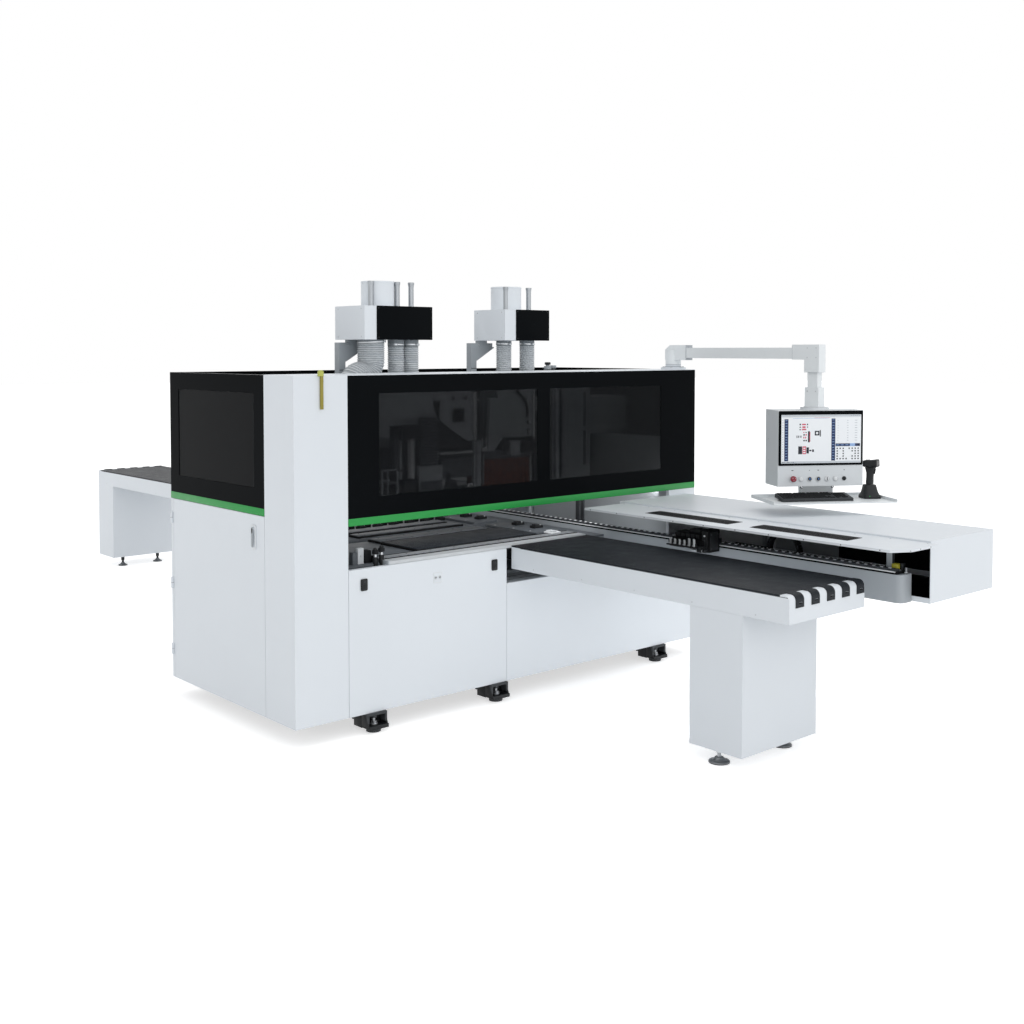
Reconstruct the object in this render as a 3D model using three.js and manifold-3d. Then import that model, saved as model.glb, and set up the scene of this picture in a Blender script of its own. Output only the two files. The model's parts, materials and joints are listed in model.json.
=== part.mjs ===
// Six sided CNC drilling machine with infeed and outfeed tables, a clamp beam and a swivelling control panel.
// Millimetres. +X runs right along the front, +Y to the back, +Z up. Lengths are measured from the cabinet's
// front left corner on the floor until the last line moves the whole machine to its own centre.

import * as THREE from "three";
import { mergeVertices } from "three/addons/utils/BufferGeometryUtils.js";
import Module from "manifold-3d";

// Sheet metal, gaps and cutting
const seam = 0.3;
const sheet = 3;
const thinSheet = 2;
const flange = 25;
const doorGap = 2;
const overrun = 5;
const mergeTolerance = 0.00001;
const roundSides = 16;
const fineSides = 24;
const coarseSides = 8;

// Cabinet
const cabinetWidth = 2917;
const cabinetDepth = 1304;
const cabinetTop = 1800;
const cabinetBottom = 99;
const columnWidth = 306;
const columnDepth = 278;
const rightColumnWidth = 241;
const frontTrimBottom = 1052;
const sideTrimBottom = 1102;
const lowCoverTop = 640;
const roofStripDepth = 356;

// Windows
const frontWindowMargin = 187;
const frontWindowWidth = 1077;
const windowBar = 95;
const rightWindowMargin = 320;
const frontWindowSill = 138;
const frontWindowHead = 94;
const sideWindowMargin = 100;
const sideWindowSill = 133;
const sideWindowHead = 92;
const windowLap = 15;
const glazing = 5;

// Work lane, tables and legs
const tableLeft = 1375;
const tableWidth = 587;
const tableTop = 845;
const tableTopThickness = 7;
const apronHeight = 127;
const frontTableLength = 1843;
const rearTableLength = 4346;
const tableEndLength = 50;
const tableEndRadius = 26;
const tableEndSteps = 8;
const stripCount = 5;
const stripMargin = 46;
const stripFarMargin = 6;
const stripWidth = 60;
const stripHeight = 58;
const stripThickness = 3;
const frontLegBottom = 60;
const rearLegBottom = 83;
const legWidth = 574;
const legLength = 310;
const frontLegOutset = 253;
const frontFootInset = 32;
const frontFootSpacing = 418;
const frontFootStagger = 46;
const rearFootInset = 105;
const rearFootSpacing = 327;
const rearFootSetback = 50;
const footDiscRadius = 50;
const footDiscHeight = 8;
const footStemRadius = 9;
const footConeRadius = 20;
const footConeHeight = 26;

// Bed and its feet
const bedTube = 100;
const bedPlate = 20;
const padRadius = 38;
const padHeight = 12;
const boltRadius = 10;
const nutRadius = 17;
const nutHeight = 14;
const footBracketWidth = 120;
const footBracketOutset = 15;
const footBracketHeight = 50;
const footBracketPlate = 12;
const footLeft = 465;
const footMiddle = 1277;
const footRightInset = 342;
const footSetback = 20;

// Gantry
const railFace = 560;
const railDepth = 15;
const railHeight = 34;
const railInset = 24;
const beamDepth = 225;
const beamBottom = 1380;
const beamHeight = 240;
const beamWall = 14;
const leftUprightLeft = 230;
const uprightWidth = 100;
const fixedPlateLeft = 2167;
const fixedPlateWidth = 335;
const fixedPlateBottom = 1111;
const fixedPlateTop = 1690;
const fixedSlotWidth = 26;
const fixedSlotLength = 220;
const fixedSlotInset = 36;
const plateThickness = 40;

// Work table
const workTop = 852;
const workSlab = 14;
const workBase = 23;
const workSlabLeft = 890;
const workSideGap = 12;
const workRail = 60;
const workRailHeight = 35;
const workRailCount = 3;
const workRailLeft = 620;
const workRailRight = 1860;
const ledgeLeft = 552;
const ledgeDepth = 50;
const ledgeHeight = 18;
const workFrontSetback = 100;
const slabFront = 220;
const slabDepth = 293;
const slabGap = 42;
const rearSlabDepth = 108;
const lowerSlotFront = 684;
const lowerSlotWidth = 111;
const guideBlockCount = 14;
const guideBlockWidth = 50;
const guideBlockDepth = 45;
const guideBlockHeight = 18;
const guideRowSetback = 170;
const stopPlateLeft = 400;
const stopPlateWidth = 30;
const stopPlateFront = 40;
const stopPlateDepth = 150;
const stopPlateDrop = 110;
const stopPostRadius = 15;
const stopPostSpacing = 45;
const stopPostHeight = 34;

// Clamp beam, housings and lids
const beamGap = 176;
const clampBeamWidth = 97;
const clampBeamTop = 855;
const clampBeamBottom = 720;
const clampBeamOutset = 1930;
const clampBeamRadius = 35;
const clampBeamRightRadius = 12;
const clampBeamWall = 8;
const railBaseInset = 4;
const railBaseWidth = 62;
const railBaseHeight = 7;
const linearRailWidth = 36;
const linearRailHeight = 18;
const rackWidth = 14;
const rackHeight = 9;
const railEndSetback = 35;
const housingWidth = 600;
const housingTop = 1020;
const housingBottom = 722;
const housingLength = 2023;
const lidLeft = 1900;
const lidTop = 1012;
const lidThickness = 12;
const lidOutset = 2066;
const lidSetback = 40;
const lidChamferAlong = 55;
const lidChamferAcross = 100;
const ventFront = 1690;
const ventLength = 556;
const ventGap = 166;
const ventLeft = 2028;
const ventWidth = 100;
const ventDepth = 3;
const housingStrutCount = 4;
const housingStrut = 30;

// Clamps
const clampFrontStart = -842;
const clampRearStart = 2100;
const clampLength = 257;
const clampTowerLength = 52;
const clampTowerTop = 957;
const clampTowerBottom = 835;
const clampTowerLeft = 2040;
const clampBodyBottom = 856;
const clampBodyHeight = 44;
const clampBodySetback = 12;
const clampSideGap = 5;
const clampRailCover = 56;
const clampRailSetback = 27;
const jawLeft = 1985;
const jawWidth = 25;
const jawBottom = 858;
const jawHeight = 10;
const jawEndGap = 5;
const jawPinCount = 6;
const jawPinRadius = 7;
const jawPinHeight = 29;

// Access cover, latches, door and handle
const accessGap = 34;
const accessCoverTop = 833;
const latchWidth = 40;
const latchHeight = 60;
const latchThickness = 8;
const latchInset = 69;
const latchDrop = 50;
const handleInset = 88;
const handleWidth = 28;
const handleHeight = 104;
const handleDrop = 61;
const handleThickness = 11;
const handleSeat = 3;
const handleSeatMargin = 6;

// Electrical bay
const drivePlateLeft = 180;
const drivePlateThickness = 5;
const drivePlateMargin = 45;
const driveDepth = 80;
const driveRows = 3;
const driveColumns = 5;
const driveGap = 30;

// Warning lamp
const lampLeft = 137;
const lampWidth = 35;
const lampDepth = 18;
const lampBottom = 1636;
const lampTop = 1807;
const lampCapHeight = 20;
const lampCapLap = 5;

// Swing arm
const armRootInsetX = 87;
const armRootInsetY = 105;
const armTipX = 2800;
const armTipY = -974;
const armFlangeRadius = 79;
const armFlangeHeight = 12;
const armStubRadius = 49;
const armStubHeight = 18;
const armElbowTop = 1953;
const armElbowHeight = 94;
const armElbowLong = 100;
const armElbowWide = 62;
const armElbowBack = 42;
const armElbowChamferRun = 40;
const armElbowChamferDrop = 28;
const armElbowReach = 132;
const armTubeHeight = 64;
const armTubeWide = 54;
const armTubeBottom = 1872;
const armTipElbowDrop = 157;
const armTipElbowReach = 135;
const armTipElbowHeight = 85;
const armBlockWide = 58;
const armBlockLong = 94;
const armBlockHeight = 112;
const armStemWide = 42;
const armStemLong = 67;

// Control panel
const panelTurnDegrees = -32.2;
const panelWidth = 502;
const panelDepth = 186;
const panelBottom = 1161;
const panelTop = 1586;
const panelFlangeRadius = 80;
const panelFlangeHeight = 14;
const displayHeight = 311;
const displayThickness = 5;
const displayMargin = 3;
const displayOpeningMargin = 30;
const trayLeft = 350;
const trayRight = 363;
const trayFront = 291;
const trayBack = 55;
const trayBottom = 1085;
const trayRim = 16;
const trayNeckWidth = 190;
const trayNeckDepth = 40;
const trayNeckX = 20;
const keyboardX = -55;
const keyboardWidth = 412;
const keyboardDepth = 118;
const keyboardFront = 137;
const keyboardHeight = 15;
const keyboardBack = 36;
const stopButtonX = -165;
const stopButtonZ = 1205;
const stopButtonRadius = 17;
const stopButtonHead = 16;
const stopButtonStem = 12;
const stopButtonStemRadius = 10;
const stopButtonTail = 12;
const stopButtonClearance = 0.6;
const scannerX = 298;
const scannerY = -84;
const cradleWidth = 104;
const cradleBase = 20;
const cradleTopWidth = 60;
const cradleHeight = 78;
const scannerGripWidth = 44;
const scannerGripHeight = 95;
const scannerHeadWidth = 90;
const scannerHeadDepth = 62;
const scannerHeadHeight = 45;

// Upper drilling units, dust boxes and hoses
const carriageGap = 0.3;
const dustBoxFront = 300;
const dustBoxBack = 580;
const dustBoxBottom = 1978;
const dustBoxTop = 2157;
const dustWall = 2;
const spigotRadius = 90;
const spigotTop = 2293;
const spigotY = 440;
const hoseY = 440;
const pipeRadius = 14;
const pipeTop = 2290;
const postWidth = 42;
const postFront = 545;
const armRise = 43;
const armClearance = 15;
const spacerLength = 60;
const gussetRun = 135;
const gussetDrop = 75;
const gussetThickness = 12;
const hoseSides = 8;
const boreRibs = 5;
const pipeSetback = 80;
const boxALeft = 613;
const boxAWidth = 445;
const spigotAX = 795;
const pipeAFirst = 96;
const pipeASecond = 268;
const pipeAThird = 362;
const supportAWidth = 247;
const plateALeft = 863;
const plateAWidth = 637;
const plateABottom = 1380;
const plateATop = 1695;
const barALeft = 560;
const barAHeight = 55;
const boxBLeft = 1588;
const boxBWidth = 346;
const spigotBX = 1717;
const pipeBFirst = 74;
const pipeBSecond = 255;
const postBGap = 53;
const supportBWidth = 165;
const plateBLeft = 1611;
const plateBWidth = 411;
const plateBBottom = 1300;
const plateBTop = 1745;
const barBHeight = 40;
const largeHoseRadius = 75;
const largeHoseDepth = 5;
const largeHoseWall = 10;
const largeHosePitch = 12;
const smallHoseRadius = 47;
const smallHoseDepth = 4;
const smallHoseWall = 8;
const smallHosePitch = 17;
const hoseALargeX = 749;
const hoseALargeShift = -120;
const hoseALargeBendTop = 1908;
const hoseALargeBendBottom = 1726;
const hoseALeftX = 915;
const hoseARightX = 1014;
const hoseARightShift = 136;
const hoseARightBendTop = 1810;
const hoseARightBendBottom = 1600;
const hoseARightBottom = 1330;
const hoseBLeftX = 1700;
const hoseBRightX = 1884;
const hoseBottom = 1575;
const hoseShelf = 13;
const hoseShelfMargin = 15;
const plateCut = 90;
const headPlate = 15;
const headALeft = 929;
const headAWidth = 146;
const headABottom = 1190;
const headATop = 1498;
const headADepth = 125;
const headMotorRadius = 34;
const headMotorTop = 1440;
const headMotorBase = 1240;
const headMotorCount = 2;
const drillTipRadius = 5;
const drillTipLength = 45;
const drillTipCount = 5;
const headBLeft = 1640;
const headBWidth = 340;
const headBBottom = 1300;
const headBTop = 1560;
const headBDepth = 80;
const spindleX = 1690;
const spindleRadius = 42;
const spindleDrop = 150;
const skirtLeft = 1480;
const skirtWidth = 370;
const skirtFront = 380;
const skirtBottom = 1120;
const skirtHeight = 171;
const skirtWall = 6;
const skirtSlitCount = 12;
const skirtSlit = 3;
const skirtSlitHeight = 120;

// Lower drilling unit
const lowerRailWidth = 70;
const lowerRailHeight = 200;
const lowerUnitX = 960;
const lowerCarriageWidth = 200;
const lowerCarriageHeight = 70;
const lowerHeadWidth = 150;
const lowerHeadDepth = 86;
const lowerHeadTop = 720;
const lowerTipTop = 775;
const lowerTipRadius = 6;
const lowerTipCount = 5;

// Positions that follow from the sizes above
const tableRight = tableLeft + tableWidth;
const apronBottom = tableTop - apronHeight;
const clampBeamLeft = tableRight + beamGap;
const clampBeamRight = clampBeamLeft + clampBeamWidth;
const housingRight = clampBeamRight + housingWidth;
const bedInset = flange + seam;
const bedBottom = cabinetBottom - seam;
const bedTop = bedBottom + bedTube;
const roofUnder = cabinetTop - sheet;
const rightColumnLeft = cabinetWidth - rightColumnWidth;
const accessCoverRight = tableLeft - accessGap;
const beamFront = railFace + railDepth;
const beamBack = beamFront + beamDepth;
const beamTop = beamBottom + beamHeight;
const rightUprightLeft = rightColumnLeft + flange;
const rightUprightRight = cabinetWidth - bedInset;
const workBaseLeft = leftUprightLeft + uprightWidth + seam;
const workRight = tableRight - workSideGap;
const workBack = cabinetDepth;
const workBaseTop = workTop - workSlab;
const workBaseBottom = workBaseTop - workBase;
const workRailBottom = workBaseBottom - workRailHeight;
const clampBeamFront = -clampBeamOutset;
const clampBeamBack = cabinetDepth + clampBeamOutset;
const railTop = clampBeamTop + seam + railBaseHeight + linearRailHeight;
const carriageBack = railFace - carriageGap;
const carriageFront = carriageBack - plateThickness;
const lowerSlotBack = lowerSlotFront + lowerSlotWidth;
const lowerSlotCentre = (lowerSlotFront + lowerSlotBack) / 2;
const slabSecondFront = slabFront + slabDepth + slabGap;
const slabFourthFront = lowerSlotBack + rearSlabDepth + slabGap;
const slabEdges = [
  [slabFront, slabFront + slabDepth],
  [slabSecondFront, lowerSlotFront],
  [lowerSlotBack, lowerSlotBack + rearSlabDepth],
  [slabFourthFront, slabFourthFront + rearSlabDepth],
];
const lowerRailTop = bedTop + lowerRailHeight;
const armRootX = cabinetWidth - armRootInsetX;
const armLength = Math.hypot(armTipX - armRootX, armTipY - armRootInsetY);
const armTurn = Math.atan2(armTipX - armRootX, armRootInsetY - armTipY);
const panelTurn = THREE.MathUtils.degToRad(panelTurnDegrees);

const pipeY = dustBoxFront + pipeSetback;
const unitA = {
  box: [boxALeft, boxALeft + boxAWidth],
  spigot: spigotAX,
  pipes: [pipeAFirst, pipeASecond, pipeAThird].map((x) => boxALeft + x),
  post: boxALeft,
  armEnd: boxALeft + supportAWidth,
  plate: [plateALeft, plateALeft + plateAWidth],
  plateBottom: plateABottom,
  plateTop: plateATop,
  barLeft: barALeft,
  barBottom: plateATop - barAHeight,
};
const unitB = {
  box: [boxBLeft, boxBLeft + boxBWidth],
  spigot: spigotBX,
  pipes: [pipeBFirst, pipeBSecond].map((x) => boxBLeft + x),
  post: boxBLeft - postBGap,
  armEnd: boxBLeft - postBGap + supportBWidth,
  plate: [plateBLeft, plateBLeft + plateBWidth],
  plateBottom: plateBBottom,
  plateTop: plateBTop,
  barLeft: boxBLeft - postBGap,
  barBottom: plateBTop - barBHeight,
};
const largeHose = {
  radius: largeHoseRadius,
  depth: largeHoseDepth,
  wall: largeHoseWall,
  pitch: largeHosePitch,
  bottom: hoseBottom,
};
const smallHose = {
  radius: smallHoseRadius,
  depth: smallHoseDepth,
  wall: smallHoseWall,
  pitch: smallHosePitch,
  bottom: hoseBottom,
  shift: 0,
  bendTop: hoseARightBendTop,
  bendBottom: hoseARightBendBottom,
};
const hoses = {
  hose_a_large: {
    ...largeHose,
    unit: "a",
    x: hoseALargeX,
    shift: hoseALargeShift,
    bendTop: hoseALargeBendTop,
    bendBottom: hoseALargeBendBottom,
  },
  hose_a_left: { ...smallHose, unit: "a", x: hoseALeftX },
  hose_a_right: {
    ...smallHose,
    unit: "a",
    x: hoseARightX,
    shift: hoseARightShift,
    bottom: hoseARightBottom,
  },
  hose_b_left: { ...smallHose, unit: "b", x: hoseBLeftX },
  hose_b_right: { ...smallHose, unit: "b", x: hoseBRightX },
};

const wasm = await Module();
wasm.setup();

// Finishes
function finish(color, roughness, metalness) {
  return new THREE.MeshStandardMaterial({ color, roughness, metalness, flatShading: true });
}
const whitePaint = finish(0xd9dee4, 0.45, 0.1);
const greyPaint = finish(0x969ba0, 0.5, 0.2);
const darkPaint = finish(0x2a2c2f, 0.55, 0.2);
const gloss = finish(0x121416, 0.2, 0);
const smoked = finish(0x16181a, 0.05, 0);
smoked.transparent = true;
smoked.opacity = 0.5;
const tableFace = finish(0x32353a, 0.6, 0);
const steel = finish(0xb4b8bc, 0.3, 0.9);
const blackPlastic = finish(0x1b1c1e, 0.5, 0);
const palePlastic = finish(0xc9ced2, 0.5, 0);
const brownRubber = finish(0x4a3222, 0.8, 0);
const lampYellow = finish(0x8c7d2d, 0.4, 0);
const signalRed = finish(0xb01818, 0.35, 0);

// Solids
function solid(geometry) {
  const bare = new THREE.BufferGeometry();
  bare.setAttribute("position", geometry.getAttribute("position"));
  bare.setIndex(geometry.index);
  const merged = mergeVertices(bare, mergeTolerance);
  const shape = new wasm.Manifold(new wasm.Mesh({
    numProp: 3,
    vertProperties: new Float32Array(merged.getAttribute("position").array),
    triVerts: new Uint32Array(merged.index.array),
  }));
  return shape;
}

function join(...shapes) {
  return shapes.flat().reduce((whole, shape) => whole.add(shape));
}

function cut(shape, ...tools) {
  return tools.flat().reduce((rest, tool) => rest.subtract(tool), shape);
}

// Places the corners of a geometry exactly, so that faces which share a plane keep sharing it
function placed(geometry, place) {
  const bare = new THREE.BufferGeometry();
  bare.setAttribute("position", geometry.getAttribute("position"));
  bare.setIndex(geometry.index);
  const merged = mergeVertices(bare, mergeTolerance);
  const position = merged.getAttribute("position");
  for (let i = 0; i < position.count; i += 1) {
    position.setXYZ(i, ...place(position.getX(i), position.getY(i), position.getZ(i)));
  }
  return solid(merged);
}

function block(x0, x1, y0, y1, z0, z1) {
  return placed(new THREE.BoxGeometry(), (x, y, z) => [x > 0 ? x1 : x0, y > 0 ? y1 : y0, z > 0 ? z1 : z0]);
}

// A turned shape about the vertical line through x and y. The profile lists radius and height pairs.
function turned(profile, x, y, sides = roundSides) {
  const points = profile.map(([radius, height]) => new THREE.Vector2(radius, height));
  const geometry = new THREE.LatheGeometry(points, sides);
  geometry.rotateX(Math.PI / 2);
  geometry.translate(x, y, 0);
  return solid(geometry);
}

function post(x, y, radius, z0, z1, sides = roundSides) {
  return turned([[0, z0], [radius, z0], [radius, z1], [0, z1]], x, y, sides);
}

function extruded(outline, place) {
  const shape = new THREE.Shape(outline.map(([u, v]) => new THREE.Vector2(u, v)));
  return placed(new THREE.ExtrudeGeometry(shape, { depth: sheet, bevelEnabled: false }), place);
}

// An outline in the Y and Z directions, pushed along X from x0 to x1
function pushedAlongX(outline, x0, x1) {
  return extruded(outline, (y, z, depth) => [depth > 0 ? x1 : x0, y, z]);
}

// An outline in the X and Z directions, pushed along Y from y0 to y1
function pushedAlongY(outline, y0, y1) {
  return extruded(outline, (x, z, depth) => [x, depth > 0 ? y0 : y1, z]);
}

// An outline in the X and Y directions, pushed up from z0 to z1
function pushedUp(outline, z0, z1) {
  return extruded(outline, (x, y, depth) => [x, y, depth > 0 ? z1 : z0]);
}

// Points of an arc, for outlines
function arc(cx, cy, radius, startShare, endShare, steps) {
  const points = [];
  for (let i = 0; i <= steps; i += 1) {
    const angle = Math.PI * 2 * (startShare + (endShare - startShare) * (i / steps));
    points.push([cx + radius * Math.cos(angle), cy + radius * Math.sin(angle)]);
  }
  return points;
}

// One named mesh, with its geometry measured from its own anchor
function addNode(group, name, material, shape, anchor = [0, 0, 0]) {
  const data = shape.getMesh();
  const geometry = new THREE.BufferGeometry();
  const positions = new Float32Array(data.numVert * 3);
  for (let i = 0; i < data.numVert; i += 1) {
    for (let axis = 0; axis < 3; axis += 1) {
      positions[i * 3 + axis] = data.vertProperties[i * data.numProp + axis] - anchor[axis];
    }
  }
  geometry.setAttribute("position", new THREE.BufferAttribute(positions, 3));
  geometry.setIndex(new THREE.BufferAttribute(new Uint32Array(data.triVerts), 1));
  geometry.computeVertexNormals();
  const mesh = new THREE.Mesh(geometry, material);
  mesh.name = name;
  mesh.position.set(...anchor);
  group.add(mesh);
  return mesh;
}

const machine = new THREE.Group();

function group(parent, x, y, z, turn = 0) {
  const child = new THREE.Group();
  child.position.set(x, y, z);
  child.rotation.z = turn;
  parent.add(child);
  return child;
}

// Levelling foot of the cabinet: pad, bolt and nut, up to the height given
function cabinetFoot(x, y, top) {
  const nutBottom = top - footBracketPlate - nutHeight;
  return turned([
    [0, 0], [padRadius, 0], [padRadius, padHeight], [boltRadius, padHeight + boltRadius],
    [boltRadius, nutBottom], [nutRadius, nutBottom], [nutRadius, nutBottom + nutHeight],
    [boltRadius, nutBottom + nutHeight], [boltRadius, top], [0, top],
  ], x, y);
}

function footBracket(x, front, back, direction) {
  const half = footBracketWidth / 2;
  const top = bedBottom;
  const low = top - footBracketHeight;
  const plateEdges = [front, front + direction * (footSetback + bedInset)].sort((a, b) => a - b);
  const wallEdges = [back, back - direction * footBracketPlate].sort((a, b) => a - b);
  const spanEdges = [front, back].sort((a, b) => a - b);
  return join(
    block(x - half, x + half, ...spanEdges, top - footBracketPlate, top),
    block(x - half, x + half, ...wallEdges, low, top),
    block(x - half, x - half + footBracketPlate, ...plateEdges, low, top),
    block(x + half - footBracketPlate, x + half, ...plateEdges, low, top),
  );
}

// Two long tubes on feet, tied by cross tubes and by the plates that carry the table rails and the clamp beam
function buildBed(cabinet) {
  const left = bedInset;
  const right = cabinetWidth - bedInset;
  const front = bedInset;
  const back = cabinetDepth - bedInset;
  const plateFront = front + bedTube / 2;
  const plateBack = back - bedTube / 2;
  const beamCentre = (clampBeamLeft + clampBeamRight) / 2;
  const parts = [
    block(left, right, front, front + bedTube, bedBottom, bedTop),
    block(left, right, back - bedTube, back, bedBottom, bedTop),
    block(left, left + bedTube, front, back, bedBottom, bedTop),
    block(leftUprightLeft, leftUprightLeft + uprightWidth, front, back, bedBottom, bedTop),
    block(rightUprightLeft, right, front, back, bedBottom, bedTop),
    block(leftUprightLeft + uprightWidth + doorGap, beamCentre, lowerSlotCentre - lowerRailWidth / 2,
      lowerSlotCentre + lowerRailWidth / 2, bedTop - overrun, lowerRailTop),
  ];
  const plate = (centre, top) => block(centre - bedPlate / 2, centre + bedPlate / 2, plateFront, plateBack,
    bedBottom, top - seam);
  for (let i = 0; i < workRailCount; i += 1) {
    parts.push(plate(workRailX(i) + workRail / 2, workRailBottom));
  }
  parts.push(plate(beamCentre, clampBeamBottom));
  for (const x of [footLeft, footMiddle, cabinetWidth - footRightInset]) {
    parts.push(footBracket(x, -footBracketOutset, front + bedTube, 1));
    parts.push(cabinetFoot(x, footSetback, bedBottom - overrun));
    parts.push(footBracket(x, cabinetDepth + footBracketOutset, back - bedTube, -1));
    parts.push(cabinetFoot(x, cabinetDepth - footSetback, bedBottom - overrun));
  }
  addNode(cabinet, "bed_frame", darkPaint, join(parts), [left, front, bedBottom]);
}

function workRailX(index) {
  return workRailLeft + (workRailRight - workRailLeft) * (index / (workRailCount - 1));
}

function buildGantry(cabinet) {
  const bottom = bedTop + seam;
  const railTopEdge = beamTop - railInset;
  const railBottomEdge = beamBottom + railInset;
  const fixedPlateRight = fixedPlateLeft + fixedPlateWidth;
  const slotRight = fixedPlateRight - fixedSlotInset;
  const slot = (top) => block(slotRight - fixedSlotWidth, slotRight, carriageFront - overrun,
    railFace + overrun, top - fixedSlotLength, top);
  const upright = (x0, x1) => cut(
    block(x0, x1, beamFront, beamBack, bottom, beamTop),
    block(x0 + beamWall, x1 - beamWall, beamFront + beamWall, beamBack + overrun,
      bottom + beamWall, beamBottom),
  );
  const wallRight = rightUprightLeft + beamWall;
  const shape = join(
    upright(leftUprightLeft, leftUprightLeft + uprightWidth),
    upright(rightUprightLeft, rightUprightRight),
    block(rightUprightLeft, wallRight, bedInset, cabinetDepth - bedInset, bottom, beamBottom),
    cut(
      block(leftUprightLeft, rightUprightRight, beamFront, beamBack, beamBottom, beamTop),
      block(leftUprightLeft + uprightWidth, rightUprightLeft, beamFront + beamWall, beamBack + overrun,
        beamBottom + beamWall, beamTop - beamWall),
    ),
    block(leftUprightLeft, rightUprightRight, railFace, beamFront + overrun, railTopEdge - railHeight,
      railTopEdge),
    block(leftUprightLeft, rightUprightRight, railFace, beamFront + overrun, railBottomEdge,
      railBottomEdge + railHeight),
    cut(
      block(fixedPlateLeft, fixedPlateRight, carriageFront, railFace + overrun,
        fixedPlateBottom, fixedPlateTop),
      slot(fixedPlateTop - fixedSlotInset),
      slot(fixedPlateTop - fixedSlotInset - fixedSlotLength - fixedSlotWidth),
    ),
  );
  addNode(cabinet, "gantry_frame", greyPaint, shape, [leftUprightLeft, beamFront, bottom]);
}

function buildCorner(cabinet) {
  const right = columnWidth - seam;
  const back = columnDepth - seam;
  const shape = join(
    block(0, right, 0, sheet, cabinetBottom, cabinetTop),
    block(0, sheet, 0, back, cabinetBottom, cabinetTop),
    block(0, right, 0, back, roofUnder, cabinetTop),
    block(right - sheet, right, 0, flange, cabinetBottom, cabinetTop),
    block(0, flange, back - sheet, back, cabinetBottom, cabinetTop),
    block(0, right, 0, flange, cabinetBottom, cabinetBottom + sheet),
    block(0, flange, 0, back, cabinetBottom, cabinetBottom + sheet),
  );
  addNode(cabinet, "corner_column", whitePaint, shape, [0, 0, cabinetBottom]);
}

function frontWindows() {
  const first = columnWidth + frontWindowMargin;
  const firstEnd = first + frontWindowWidth;
  return [[first, firstEnd], [firstEnd + windowBar, cabinetWidth - rightWindowMargin]];
}

function buildFasciae(cabinet) {
  const left = columnWidth;
  const right = cabinetWidth;
  const top = roofUnder - seam;
  const low = frontTrimBottom;
  const windows = frontWindows();
  const sill = low + frontWindowSill;
  const head = cabinetTop - frontWindowHead;
  const holes = windows.map(([x0, x1]) => block(x0, x1, -overrun, sheet + overrun, sill, head));
  const front = join(
    cut(block(left, right, 0, sheet, low, top), holes),
    block(left, right, 0, flange, low, low + sheet),
    block(left, left + sheet, 0, flange, low, top),
    block(right - sheet, right, 0, flange, low, top),
  );
  addNode(cabinet, "front_fascia", gloss, front, [left, 0, low]);
  const glassBack = sheet + seam + glazing;
  addNode(cabinet, "front_glazing", smoked,
    block(windows[0][0] - windowLap, windows[1][1] + windowLap, sheet + seam, glassBack,
      sill - windowLap, head + windowLap), [windows[0][0], sheet, sill]);

  const sideLow = sideTrimBottom;
  const sideFront = columnDepth;
  const sideBack = cabinetDepth;
  const sideSill = sideLow + sideWindowSill;
  const sideHead = cabinetTop - sideWindowHead;
  const windowFront = sideFront + sideWindowMargin;
  const windowBack = sideBack - sideWindowMargin;
  const side = join(
    cut(block(0, sheet, sideFront, sideBack, sideLow, cabinetTop),
      block(-overrun, sheet + overrun, windowFront, windowBack, sideSill, sideHead)),
    block(0, flange, sideFront, sideFront + sheet, sideLow, cabinetTop),
    block(0, flange, sideBack - sheet, sideBack, sideLow, cabinetTop),
    block(0, flange, sideFront, sideBack, sideLow, sideLow + sheet),
    block(0, flange, sideFront, sideBack, roofUnder, cabinetTop),
  );
  addNode(cabinet, "side_fascia", gloss, side, [0, sideFront, sideLow]);
  addNode(cabinet, "side_glazing", smoked,
    block(sheet + seam, glassBack, windowFront - windowLap, windowBack + windowLap,
      sideSill - windowLap, sideHead + windowLap), [sheet, windowFront, sideSill]);

  const rearLeft = flange + seam;
  const rearBack = cabinetDepth;
  const sideStart = flange + seam;
  const rear = join(
    block(rearLeft, right, rearBack - sheet, rearBack, sideLow, cabinetTop),
    block(rearLeft, right, rearBack - flange, rearBack, roofUnder, cabinetTop),
    block(rearLeft, right, rearBack - flange, rearBack, sideLow, sideLow + sheet),
    block(right - sheet, right, sideStart, rearBack, sideLow, roofUnder - seam),
    block(right - flange, right, sideStart, rearBack, sideLow, sideLow + sheet),
    block(right - flange, right, roofStripDepth + flange, rearBack, roofUnder, cabinetTop),
    block(right - sheet, right, roofStripDepth + flange, rearBack, sideLow, cabinetTop),
  );
  addNode(cabinet, "rear_fascia", gloss, rear, [rearLeft, rearBack, sideLow]);
}

function buildRoofStrip(cabinet) {
  const shape = cut(
    join(
      block(0, cabinetWidth, 0, roofStripDepth, roofUnder, cabinetTop),
      block(flange + seam, cabinetWidth - flange, roofStripDepth - sheet, roofStripDepth,
        cabinetTop - flange, cabinetTop),
    ),
    block(-overrun, columnWidth, -overrun, columnDepth, roofUnder - flange, cabinetTop + overrun),
    block(-overrun, flange + seam, columnDepth - overrun, roofStripDepth + overrun, roofUnder - flange,
      cabinetTop + overrun),
  );
  addNode(cabinet, "roof_strip", whitePaint, shape, [columnWidth, 0, roofUnder]);
}

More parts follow.
